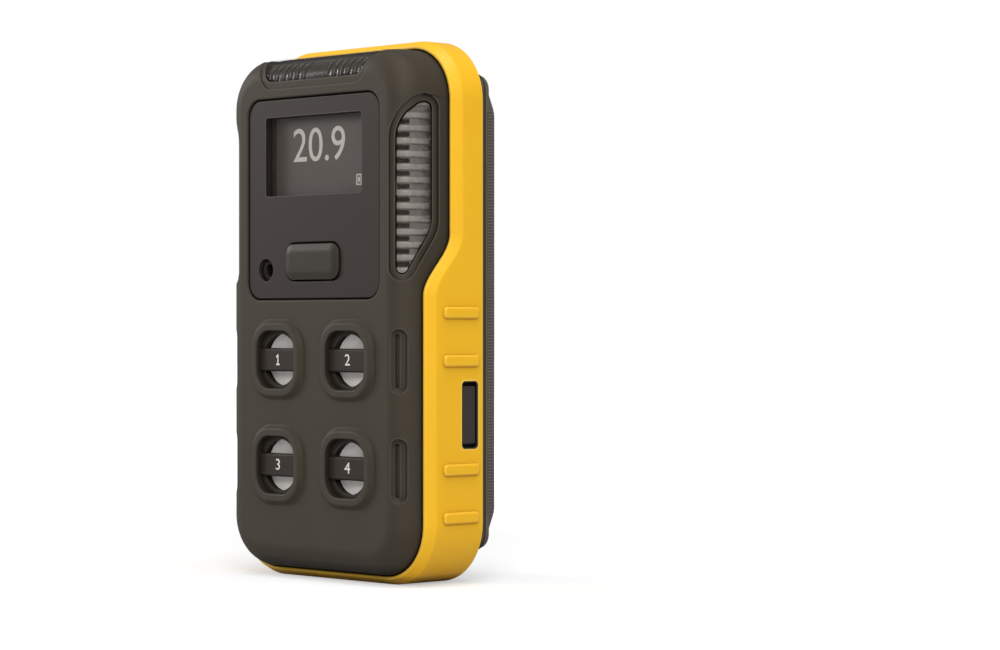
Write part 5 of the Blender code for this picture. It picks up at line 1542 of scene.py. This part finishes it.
@dataclass
class Bumper:
    """Yellow band round the housings with an S-bent front edge, grip bars and padded side slots."""

    finishes: Finishes
    gap: float = 0.3 * MM
    wall: float = 2.0 * MM
    lip: float = 0.7 * MM
    chamfer: float = 2.5 * MM
    edge_round: float = 0.3 * MM
    edge_low: float = 5.7 * MM
    edge_high: float = 13.9 * MM
    bend_low: float = 66.4 * MM
    bend_high: float = 80.5 * MM
    bend_steps: int = 24
    bar_size: tuple[float, float, float] = (11.0 * MM, 2.7 * MM, 0.79 * MM)
    bar_heights: tuple[float, ...] = (62.6 * MM, 51.6 * MM, 26.7 * MM, 15.7 * MM)
    bar_back_margin: float = 1.7 * MM
    slot_gap: float = 0.3 * MM
    slot_corner: float = 1.0 * MM
    pit: float = 1.3 * MM
    pad_bar: float = 13.2 * MM
    pad_ends: float = 0.7 * MM
    pad_sink: float = 0.35 * MM

    def build(self) -> None:
        """Model the band and pads and hand them over."""
        band = self.band()
        combine(band, self.grip_bars(), Joining.ADD)
        self.cut_slots(band)
        smooth(band)
        hand_over(band, Body.HOUSING, "bumper", self.finishes.get(BAND), "bumper_frame")
        for side in Side:
            self.pad(side)

    def edge(self, z: float) -> float:
        """Depth of the front edge at a height: forward below, set back beside the lights."""
        share = min(1.0, max(0.0, (z - self.bend_low) / (self.bend_high - self.bend_low)))
        return self.edge_low + (self.edge_high - self.edge_low) * share * share * (3 - 2 * share)

    def ring_block(self, name: str, grow: float, overrun: float) -> Object:
        """A rounded block round the housings.

        Args:
            name: The object's name.
            grow: Distance of its sides from the housing.
            overrun: How far it runs past the band's front and back.

        Returns:
            The block.
        """
        low = (-HALF - grow, FACE_Y + self.edge_low - overrun, LOW - grow)
        high = (HALF + grow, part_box("bumper_frame")[1].y + overrun, HIGH + grow)
        return rounded_block(name, low, high, BODY_CORNER + grow, 20)

    def band(self) -> Object:
        """Straight ring with a chamfered front edge, bent to the S-shaped edge and then softened."""
        band = self.ring_block("bumper_band", self.gap + self.wall, 0.0)
        combine(band, self.ring_block("band_inside", self.gap, WALL), Joining.CUT)
        front = FACE_Y + self.edge_low
        inner = HALF + self.gap + self.lip
        width = self.wall - self.lip

        def outside(place: Vector) -> bool:
            """Say whether a point of the front edge lies on the outer outline."""
            reach = Vector((abs(place.x) - HALF + BODY_CORNER, abs(place.z - (LOW + HIGH) / 2)))
            reach.y -= (HIGH - LOW) / 2 - BODY_CORNER
            radius = Vector((max(reach.x, 0.0), max(reach.y, 0.0))).length
            return place.y < front + TINY and radius > inner - HALF + BODY_CORNER

        bevel_edges(band, lambda a, b: outside(a) and outside(b), width, 1)
        with editing(band, Pick.POINTS):
            pick_points(band, lambda place: abs(place.y - front - width) < TINY)
            bpy.ops.transform.translate(value=(0.0, self.chamfer - width, 0.0))
        for step in range(self.bend_steps + 1):
            z = self.bend_low + (self.bend_high - self.bend_low) * step / self.bend_steps
            with editing(band):
                bpy.ops.mesh.select_all(action="SELECT")
                bpy.ops.mesh.bisect(plane_co=(0.0, 0.0, z), plane_no=(0.0, 0.0, 1.0))
        self.bend(band)
        apply_modifier(
            band, "BEVEL", width=self.edge_round, segments=3, limit_method="ANGLE",
            angle_limit=math.radians(25),
        )
        return band

    def bend(self, band: Object) -> None:
        """Pull the front rows back to the S-shaped edge, one height after the other."""
        front = FACE_Y + self.edge_low + self.chamfer + TINY
        heights = sorted({round(point.co.z, 6) for point in band.data.vertices})
        for z in heights:
            shift = self.edge(z) - self.edge_low
            if shift < TINY / 10:
                continue
            with editing(band, Pick.POINTS):
                pick_points(band, lambda place: abs(place.z - z) < TINY / 10 and place.y < front)
                bpy.ops.transform.translate(value=(0.0, shift, 0.0))

    def grip_bars(self) -> Object:
        """Rounded bars across the band's sides, modelled once and copied."""
        length, height, proud = self.bar_size
        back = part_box("bumper_frame")[1].y - self.bar_back_margin
        side = HALF + self.gap + self.wall
        low = (side - 0.5 * MM, back - length, -height / 2)
        high = (side + proud, back, height / 2)
        bar = start_block("grip_bar", low, high)
        bevel_edges(bar, lambda a, b: abs(a.x - b.x) > proud, 0.9 * MM, 5)
        bevel_edges(bar, lambda a, b: min(a.x, b.x) > high[0] - TINY, 0.55 * MM, 4)
        bars = []
        for z in self.bar_heights:
            right = copy_of(bar, "grip_bar", (0.0, 0.0, z))
            bars += [right, mirrored(right, "grip_bar")]
        discard(bar)
        return joined(bars)

    def slot_box(self) -> tuple[Vector, Vector]:
        """Lowest and highest corners of the right slot."""
        low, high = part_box("side_pad_right")
        grow = Vector((0.0, self.slot_gap, self.slot_gap))
        return low - grow, high + grow

    def cut_slots(self, band: Object) -> None:
        """Cut the slots in the band's sides, with rounded corners and mouths."""
        low, high = self.slot_box()
        low.x -= WALL
        high.x += WALL
        cutter = start_block("slot", low, high)
        bevel_edges(cutter, lambda a, b: abs(a.x - b.x) > WALL, self.slot_corner, 6)
        combine(band, mirrored(cutter, "slot_left"), Joining.CUT)
        combine(band, cutter, Joining.CUT)

    def pad(self, side: Side) -> None:
        """Rubber pad in a slot: a base with a narrower raised bar."""
        name = f"side_pad_{side.name.lower()}"
        low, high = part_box("side_pad_right")
        grow = Vector((0.0, self.slot_gap - TINY, self.slot_gap - TINY))
        high.x = HALF + self.gap + self.wall - 0.12 * MM
        pad = start_block("slot_pad_right", low - grow, high + grow)
        bevel_edges(pad, lambda a, b: abs(a.y - b.y) + abs(a.z - b.z) < TINY, self.slot_corner, 6)
        outwards = Vector((1.0, 0.0, 0.0))
        centre = (low + high) / 2
        raise_rings(pad, outwards, [(0.22 * MM, 0.0), (0.28 * MM, -self.pit), (0.62 * MM, -self.pit)])
        with editing(pad):
            pick_faces(pad, lambda middle, normal: normal.x > 0.9 and (middle - centre).yz.length < TINY)
            share = self.pad_bar / (high.z - low.z - self.pad_ends)
            bpy.ops.transform.resize(value=(1.0, 1.0, share), center_override=centre)
            rise = outwards * (self.pit - self.pad_sink)
            bpy.ops.mesh.extrude_region_move(TRANSFORM_OT_translate={"value": rise})
            bpy.ops.mesh.inset(thickness=0.12 * MM, depth=0.1 * MM)
            bpy.ops.mesh.inset(thickness=0.25 * MM, depth=0.06 * MM)
        if side is Side.LEFT:
            twin = mirrored(pad, pad.name)
            discard(pad)
            pad = twin
            pad.name = "slot_pad_left"
        smooth(pad)
        hand_over(pad, Body.HOUSING, "rubber", self.finishes.get(RUBBER), name)


@dataclass
class RearShell:
    """Rear shell with a tapered back, ridged sides, its screws and its charging contacts."""

    finishes: Finishes
    flange: float = 23.2 * MM
    neck: float = 1.4 * MM
    neck_inset: float = 0.5 * MM
    taper: float = 7.4 * MM
    side_taper: float = 0.8 * MM
    corner: float = 4.0 * MM
    edge: float = 1.2 * MM
    end_margin: float = 5.2 * MM
    ridge_pitch: float = 0.7 * MM
    ridge_raise: float = 0.14 * MM

    def build(self) -> None:
        """Model the shell, ridges, screws and contacts and hand them over."""
        shell = self.shell()
        smooth(shell)
        hand_over(shell, Body.HOUSING, "rear", self.finishes.get(REAR), "rear_housing")
        ridges = self.ridges()
        hand_over(ridges, Body.HOUSING, "rear", self.finishes.get(REAR))
        self.screws()
        self.contacts()

    def shell(self) -> Object:
        """Tub inside the bumper with the tapered block behind it, and the holes in its back."""
        low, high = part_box("rear_housing")
        tub_low = (-HALF, low.y, LOW)
        tub_high = (HALF, FACE_Y + self.flange + 0.4 * MM, HIGH)
        shell = rounded_block("rear_shell", tub_low, tub_high, BODY_CORNER, 20)
        neck_low = (low.x + self.neck_inset, FACE_Y + self.flange, LOW + self.end_margin + self.neck_inset)
        neck_top = HIGH - self.end_margin - self.neck_inset
        neck_high = (-neck_low[0], FACE_Y + self.flange + 2 * self.neck, neck_top)
        combine(shell, rounded_block("neck", neck_low, neck_high, self.corner - self.neck_inset), Joining.ADD)
        combine(shell, self.block(high), Joining.ADD)
        inset = WALL
        cavity_low = (-HALF + inset, low.y - WALL, LOW + inset)
        cavity_high = (HALF - inset, FACE_Y + self.flange - inset, HIGH - inset)
        combine(shell, rounded_block("cavity", cavity_low, cavity_high, BODY_CORNER - inset, 20), Joining.CUT)
        for index in range(1, 5):
            low_screw, high_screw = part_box(f"housing_screw_{index}")
            place = ((low_screw.x + high_screw.x) / 2, (low_screw.z + high_screw.z) / 2)
            radius = (high_screw.x - low_screw.x) / 2 + 0.3 * MM
            well = start_rod("screw_well", radius, high_screw.y - 1.5 * MM, high.y + WALL, place)
            combine(shell, well, Joining.CUT)
        for index in range(1, 5):
            low_pin, high_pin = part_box(f"charge_contact_{index}")
            place = ((low_pin.x + high_pin.x) / 2, (low_pin.z + high_pin.z) / 2)
            radius = (high_pin.x - low_pin.x) / 2
            well = start_rod("contact_well", radius + 0.3 * MM, low_pin.y, high.y, place)
            raise_rings(well, BACK, [(0.0, WALL)])
            combine(shell, well, Joining.CUT)
        return shell

    def block(self, high: Vector) -> Object:
        """Raised back, drawn in at its ends and sides and rounded along its rim."""
        front = FACE_Y + self.flange + self.neck
        low_corner = (-high.x, front, LOW + self.end_margin)
        high_corner = (high.x, high.y, HIGH - self.end_margin)
        block = rounded_block("back_block", low_corner, high_corner, self.corner, 8)
        tall = HIGH - LOW - 2 * self.end_margin
        with editing(block):
            pick_faces(block, flat_end(block, BACK))
            bpy.ops.transform.resize(
                value=(1 - self.side_taper / high.x, 1.0, 1 - 2 * self.taper / tall),
                center_override=(0.0, high.y, (LOW + HIGH) / 2),
            )
        rim = high.y - TINY
        bevel_edges(block, lambda a, b: min(a.y, b.y) > rim, self.edge, 6)
        return block

    def ridges(self) -> Object:
        """Fine level ridges along both sides of the back, modelled once and repeated."""
        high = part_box("rear_housing")[1]
        front, back = depth(25.0), high.y - self.edge
        bottom = LOW + self.end_margin + self.taper + 1.0 * MM
        top = HIGH - self.end_margin - self.taper - 1.0 * MM
        slope = self.side_taper / (high.y - FACE_Y - self.flange - self.neck)
        outside = high.x - slope * (front - FACE_Y - self.flange - self.neck)
        ridge = start_block(
            "grip_ridges",
            (outside - 0.3 * MM, front, bottom),
            (outside + self.ridge_raise, back, bottom + 0.45 * self.ridge_pitch),
        )
        bevel_edges(ridge, lambda a, b: min(a.x, b.x) > outside and abs(a.y - b.y) > TINY, 0.1 * MM, 2)
        with editing(ridge, Pick.POINTS):
            pick_points(ridge, lambda place: place.y > back - 0.2 * MM)
            bpy.ops.transform.translate(value=(-slope * (back - front), 0.0, 0.0))
        count = int((top - bottom) / self.ridge_pitch)
        apply_modifier(
            ridge,
            "ARRAY",
            count=count,
            use_relative_offset=False,
            use_constant_offset=True,
            constant_offset_displace=(0.0, 0.0, self.ridge_pitch),
        )
        ridges = joined([ridge, mirrored(ridge, "ridges_left")])
        smooth(ridges)
        return ridges

    def screws(self) -> None:
        """The four housing screws."""
        screw = socket_screw("housing_screw", *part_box("housing_screw_1"))
        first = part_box("housing_screw_1")[0]
        for index in range(1, 5):
            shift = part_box(f"housing_screw_{index}")[0] - first
            twin = copy_of(screw, f"case_screw_{index}", shift)
            smooth(twin)
            hand_over(twin, Body.HOUSING, "steel", self.finishes.get(STEEL), f"housing_screw_{index}")
        discard(screw)

    def contacts(self) -> None:
        """The four gold charging contacts, each with a rounded rim and a shallow dimple."""
        for index in range(1, 5):
            low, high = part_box(f"charge_contact_{index}")
            place = ((low.x + high.x) / 2, (low.z + high.z) / 2)
            pin = start_rod(f"charge_pin_{index}", (high.x - low.x) / 2, low.y, high.y - 0.2 * MM, place, 32)
            rings = round_over(0.2 * MM, 0.2 * MM, 4)
            dish = [(0.5 * MM, 0.2 * MM), (0.65 * MM, 0.12 * MM), (0.9 * MM, 0.1 * MM)]
            raise_rings(pin, BACK, rings + dish)
            smooth(pin)
            hand_over(pin, Body.HOUSING, "brass", self.finishes.get(GOLD), f"charge_contact_{index}")


def socket_screw(name: str, low: Vector, high: Vector) -> Object:
    """Pan-head screw with a six-sided socket, its head at the back.

    Args:
        name: The object's name.
        low: Lowest corner of the screw's box.
        high: Highest corner of its box.

    Returns:
        The screw.
    """
    place = ((low.x + high.x) / 2, (low.z + high.z) / 2)
    head = (high.x - low.x) / 2
    seat = high.y - 1.5 * MM
    screw = start_rod(name, head, seat, high.y - 0.6 * MM, place, 40)
    raise_rings(screw, BACK, round_over(0.8 * MM, 0.6 * MM, 6))
    raise_rings(screw, FRONT, [(head - 1.0 * MM, 0.0), (head - 1.0 * MM, seat - low.y)])
    socket = start_rod("socket", 1.0 * MM, high.y - 0.8 * MM, high.y + WALL, place, 6)
    combine(screw, socket, Joining.CUT)
    return screw


@dataclass
class BeltClip:
    """Sprung clip on the back: a plate with ears, a bent lever, its pin, spring and screws."""

    finishes: Finishes
    sheet: float = 1.2 * MM
    ear_radius: float = 2.25 * MM
    pin_hole: float = 1.25 * MM
    plate_corner: float = 2.0 * MM
    bend: float = 2.5 * MM
    bend_steps: int = 8
    wire: float = 0.6 * MM
    coil_radius: float = 1.8 * MM
    coil_pitch: float = 1.05 * MM
    coil_turns: float = 5.5
    coil_steps: int = 24
    coil_leg: float = 8.0 * MM
    give: float = 1.2 * MM

    def build(self) -> None:
        """Model the clip's pieces and hand them over."""
        steel = self.finishes.get(STEEL)
        hand_over(self.plate(), Body.HOUSING, "steel", steel, "clip_base")
        hand_over(self.lever(), Body.CLIP, "steel", steel, "clip_lever")
        hand_over(self.pin(), Body.HOUSING, "steel", steel, "clip_pin")
        self.place_spring(self.spring(), steel)
        for index in (1, 2):
            screw = socket_screw(f"plate_screw_{index}", *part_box(f"clip_screw_{index}"))
            smooth(screw)
            hand_over(screw, Body.HOUSING, "steel", steel, f"clip_screw_{index}")

    def pin_axis(self) -> tuple[float, float]:
        """World Y and Z of the pin's axis."""
        low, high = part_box("clip_pin")
        return (low.y + high.y) / 2, (low.z + high.z) / 2

    def cross_rod(self, name: str, radius: float, half: float, sides: int = 32) -> Object:
        """A rod along the pin's axis."""
        y, z = self.pin_axis()
        bpy.ops.mesh.primitive_cylinder_add(
            vertices=sides, radius=radius, depth=2 * half, location=(0.0, y, z),
            rotation=(0.0, math.pi / 2, 0.0),
        )
        rod = bpy.context.object
        rod.name = name
        return settle(rod)

    def ears(self, name: str, half: float, base: float) -> Object:
        """A pair of ears: a round boss about the pin and a foot that reaches the sheet."""
        y, z = self.pin_axis()
        boss = self.cross_rod(name, self.ear_radius, self.sheet / 2, 40)
        low = (-self.sheet / 2, min(y, base), z - self.ear_radius)
        high = (self.sheet / 2, max(y, base), z + self.ear_radius)
        combine(boss, start_block("ear_foot", low, high), Joining.ADD)
        right = copy_of(boss, name, (half - self.sheet / 2, 0.0, 0.0))
        left = copy_of(boss, name, (self.sheet / 2 - half, 0.0, 0.0))
        discard(boss)
        return joined([right, left])

    def trim(self, piece: Object) -> None:
        """Bore the pin's hole through a piece and break its edges."""
        combine(piece, self.cross_rod("bore", self.pin_hole, 0.02), Joining.CUT)
        apply_modifier(
            piece, "BEVEL", width=0.15 * MM, segments=2, limit_method="ANGLE", angle_limit=math.radians(50)
        )
        smooth(piece)

    def plate(self) -> Object:
        """Flat plate with rounded corners, two ears and two screw holes."""
        low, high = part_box("clip_base")
        back = low.y + self.sheet
        plate = rounded_block("clip_plate", low, (high.x, back, high.z), self.plate_corner, 8)
        combine(plate, self.ears("plate_ears", high.x, back - 0.2 * MM), Joining.ADD)
        for index in (1, 2):
            screw_low, screw_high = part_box(f"clip_screw_{index}")
            place = ((screw_low.x + screw_high.x) / 2, (screw_low.z + screw_high.z) / 2)
            combine(plate, start_rod("screw_hole", 1.3 * MM, low.y - WALL, back + WALL, place), Joining.CUT)
        self.trim(plate)
        return plate

    def lever_path(self) -> list[Vector]:
        """Middle line of the lever's sheet from the thumb end to the tip, its bends rounded."""
        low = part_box("clip_lever")[0]
        y, z = self.pin_axis()
        flat = y + 2.4 * MM + self.sheet / 2
        tip = low.y + self.sheet / 2
        corners = [
            Vector((0.0, flat + 1.58 * MM, z + 13.0 * MM)),
            Vector((0.0, flat, z + 5.0 * MM)),
            Vector((0.0, flat, z - 21.5 * MM)),
            Vector((0.0, tip, z - 33.1 * MM)),
            Vector((0.0, tip + 0.9 * MM, z - 35.5 * MM)),
        ]
        path = [corners[0]]
        for before, corner, after in zip(corners, corners[1:], corners[2:]):
            start = corner + (before - corner).normalized() * self.bend
            end = corner + (after - corner).normalized() * min(self.bend, (after - corner).length / 2)
            for step in range(self.bend_steps + 1):
                share = step / self.bend_steps
                path.append(start.lerp(corner, share).lerp(corner.lerp(end, share), share))
        path.append(corners[-1])
        return path

    def lever(self) -> Object:
        """Bent sheet with two cheeks on the pin: an edge drawn out along the path and given its thickness."""
        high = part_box("clip_lever")[1]
        path = self.lever_path()
        bpy.ops.mesh.primitive_plane_add(size=1.0, location=(0.0, 0.0, 0.0))
        lever = bpy.context.object
        lever.name = "clip_jaw"
        with editing(lever, Pick.POINTS):
            pick_points(lever, lambda place: place.y > 0.0)
            bpy.ops.mesh.delete(type="VERT")
            bpy.ops.mesh.select_all(action="SELECT")
            bpy.ops.transform.resize(value=(2 * high.x, 1.0, 1.0), center_override=(0.0, -0.5, 0.0))
            bpy.ops.transform.translate(value=path[0] - Vector((0.0, -0.5, 0.0)))
            for start, end in zip(path, path[1:]):
                bpy.ops.mesh.extrude_region_move(TRANSFORM_OT_translate={"value": end - start})
        apply_modifier(lever, "SOLIDIFY", thickness=self.sheet, offset=0.0, use_even_offset=True)
        face_out(lever)
        base = self.pin_axis()[0] + 2.4 * MM + 0.3 * MM
        combine(lever, self.ears("lever_cheeks", high.x, base), Joining.ADD)
        self.trim(lever)
        return lever

    def spring_path(self) -> list[Vector]:
        """Middle line of the torsion spring: a leg on the plate, turns round the pin, a leg on the lever."""
        length = self.coil_pitch * self.coil_turns
        steps = int(self.coil_turns * self.coil_steps)
        path = [Vector((-length / 2, -self.coil_radius, self.coil_leg))]
        for step in range(steps + 1):
            share = step / steps
            angle = -math.pi / 2 - math.tau * self.coil_turns * share
            reach = Vector((0.0, math.sin(angle), math.cos(angle))) * self.coil_radius
            path.append(Vector((length * (share - 0.5), 0.0, 0.0)) + reach)
        path.append(Vector((length / 2, self.coil_radius, self.coil_leg)))
        axis = Vector((0.0, *self.pin_axis()))
        return [point + axis for point in path]

    def spring(self) -> Object:
        """Torsion spring: a point drawn out along the path and turned into a round wire."""
        path = self.spring_path()
        bpy.ops.mesh.primitive_plane_add(size=1.0, location=(0.0, 0.0, 0.0))
        spring = bpy.context.object
        spring.name = "torsion_spring"
        with editing(spring, Pick.POINTS):
            bpy.ops.mesh.select_all(action="SELECT")
            bpy.ops.mesh.merge(type="CENTER")
            bpy.ops.transform.translate(value=path[0])
            for start, end in zip(path, path[1:]):
                bpy.ops.mesh.extrude_vertices_move(TRANSFORM_OT_translate={"value": end - start})
        activate(spring)
        bpy.ops.object.convert(target="CURVE")
        spring.data.bevel_depth = self.wire / 2
        spring.data.bevel_resolution = 3
        spring.data.use_fill_caps = True
        bpy.ops.object.convert(target="MESH")
        smooth(spring)
        return spring

    def place_spring(self, spring: Object, finish: Material) -> None:
        """Give the spring its material, move its place into its mesh and hide the solid that it stands for.
        """
        spring.data.materials.append(finish)
        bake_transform(spring)
        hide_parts("clip_spring")
        LOG.info("%s: %d faces, bends between two bodies", spring.name, len(spring.data.polygons))

    def pin(self) -> Object:
        """Headed pin with domed ends."""
        low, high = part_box("clip_pin")
        head = (high.z - low.z) / 2
        shank_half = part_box("clip_base")[1].x + 0.3 * MM
        pin = self.cross_rod("hinge_pin", 1.1 * MM, shank_half, 32)
        for facing in (Vector((1.0, 0.0, 0.0)), Vector((-1.0, 0.0, 0.0))):
            cap = self.cross_rod("pin_head", head, 0.1 * MM, 32)
            raise_rings(cap, facing, round_over(head * 0.6, high.x - shank_half - 0.2 * MM, 5))
            cap.location = facing * (shank_half + 0.1 * MM)
            settle(cap)
            combine(pin, cap, Joining.ADD)
        smooth(pin)
        return pin


class Internals:
    """The solids inside the housings, which keep their shapes and get real finishes."""

    SLOTS: dict[str, Finish] = {
        "shell": SHELL,
        "rear": REAR,
        "bumper": BAND,
        "panel": PANEL,
        "rubber": RUBBER,
        "clear": PANE,
        "lens": COVER,
        "glass": CELL,
        "white": WHITE,
        "board": BOARD,
        "sensor": CAN,
        "steel": STEEL,
        "brass": GOLD,
        "battery": SLEEVE,
    }

    def __init__(self, finishes: Finishes) -> None:
        """Keep the finishes for dressing."""
        self.finishes = finishes

    def dress(self) -> None:
        """Give each solid the finish of its slot."""
        for name, node in frame["nodes"].items():
            for holder in node.material_slots:
                slot = holder.material.name.split(".")[0]
                if slot in self.SLOTS:
                    holder.material = self.finishes.get(self.SLOTS[slot])
            LOG.info("%s: dressed", name)


@dataclass
class Studio:
    """Camera, lamps, floor and the white surround."""

    camera_place: tuple[float, float, float] = (0.5147, -0.4542, 0.0598)
    camera_turn: float = 46.0
    lens: float = 103.82
    surround: float = 0.3
    floor_size: float = 6.0
    floor_glow: float = 0.46

    def build(self) -> None:
        """Set the camera, the light and the floor."""
        self.camera()
        self.lamp("left_panel", (-1.2, -0.5, 0.5), 0.4, 8.0)
        self.lamp("right_panel", (0.8, -0.7, 0.65), 0.5, 8.2)
        self.lamp("top_panel", (0.3, -0.1, 1.3), 0.7, 8.0)
        self.world()
        self.floor()
        bpy.context.scene.view_settings.view_transform = "Standard"

    def camera(self) -> None:
        """Camera at the photograph's angle."""
        data = bpy.data.cameras.new("camera")
        data.lens = self.lens
        data.sensor_width = 36.0
        data.sensor_fit = "HORIZONTAL"
        data.clip_start = 0.01
        camera = bpy.data.objects.new("camera", data)
        camera.location = self.camera_place
        camera.rotation_euler = (math.pi / 2, 0.0, math.radians(self.camera_turn))
        bpy.context.scene.collection.objects.link(camera)
        bpy.context.scene.camera = camera

    def lamp(self, name: str, place: tuple[float, float, float], size: float, power: float) -> None:
        """Soft square lamp aimed at the detector's middle.

        Args:
            name: The lamp's name.
            place: Where it hangs.
            size: Side of the square.
            power: Its power in watts.
        """
        data = bpy.data.lights.new(name, "AREA")
        data.size = size
        data.energy = power
        lamp = bpy.data.objects.new(name, data)
        lamp.location = place
        aim = Vector((0.0, 0.0, 0.06)) - Vector(place)
        lamp.rotation_euler = aim.to_track_quat("-Z", "Y").to_euler()
        bpy.context.scene.collection.objects.link(lamp)

    def world(self) -> None:
        """White surround that lights softly and is seen as plain white."""
        world = bpy.data.worlds.new("surround")
        bpy.context.scene.world = world
        world.use_nodes = True
        tree = world.node_tree
        tree.nodes.clear()
        ray = add_node(tree, "ShaderNodeLightPath")
        seen = add_node(
            tree,
            "ShaderNodeMath",
            {"operation": "MAXIMUM"},
            links={0: ray.outputs["Is Camera Ray"], 1: ray.outputs["Is Transmission Ray"]},
        )
        level = add_node(
            tree,
            "ShaderNodeMapRange",
            inputs={"To Min": self.surround, "To Max": 1.0},
            links={"Value": seen.outputs["Value"]},
        )
        light = add_node(
            tree,
            "ShaderNodeBackground",
            inputs={"Color": (1.0, 1.0, 1.0, 1.0)},
            links={"Strength": level.outputs["Result"]},
        )
        add_node(tree, "ShaderNodeOutputWorld", links={"Surface": light.outputs["Background"]})

    def floor(self) -> None:
        """Pale floor that keeps the shadow and is seen as white away from it."""
        bpy.ops.mesh.primitive_plane_add(size=self.floor_size, location=(0.0, 0.0, -0.01 * MM))
        floor = bpy.context.object
        floor.name = "floor"
        material = bpy.data.materials.new("matt_white_paper")
        material.use_nodes = True
        tree = material.node_tree
        tree.nodes.clear()
        ray = add_node(tree, "ShaderNodeLightPath")
        place = add_node(tree, "ShaderNodeTexCoord")
        spot = place.outputs["Object"]
        away = add_node(tree, "ShaderNodeVectorMath", {"operation": "LENGTH"}, links={0: spot})
        fade = add_node(
            tree,
            "ShaderNodeMapRange",
            {"interpolation_type": "SMOOTHSTEP"},
            {"From Min": 0.12, "From Max": 0.5, "To Min": self.floor_glow, "To Max": 1.0},
            {"Value": away.outputs["Value"]},
        )
        glow = add_node(
            tree,
            "ShaderNodeMath",
            {"operation": "MULTIPLY"},
            links={0: ray.outputs["Is Camera Ray"], 1: fade.outputs["Result"]},
        )
        shader = add_node(
            tree,
            "ShaderNodeBsdfPrincipled",
            inputs={
                "Base Color": linear("#c4c4c4"),
                "Roughness": 0.9,
                "Specular IOR Level": 0.0,
                "Emission Color": (1.0, 1.0, 1.0, 1.0),
            },
            links={"Emission Strength": glow.outputs["Value"]},
        )
        add_node(tree, "ShaderNodeOutputMaterial", links={"Surface": shader.outputs["BSDF"]})
        floor.data.materials.append(material)


def main() -> None:
    """Build the sub-assemblies in order."""
    logging.basicConfig(level=logging.INFO, format="%(message)s")
    finishes = Finishes()
    Studio().build()
    Internals(finishes).dress()
    FrontShell(finishes).build()
    AlarmLights(finishes).build()
    FacePanel(finishes).build()
    PortFittings(finishes).build()
    Bumper(finishes).build()
    RearShell(finishes).build()
    BeltClip(finishes).build()


if __name__ == "__main__":
    main()
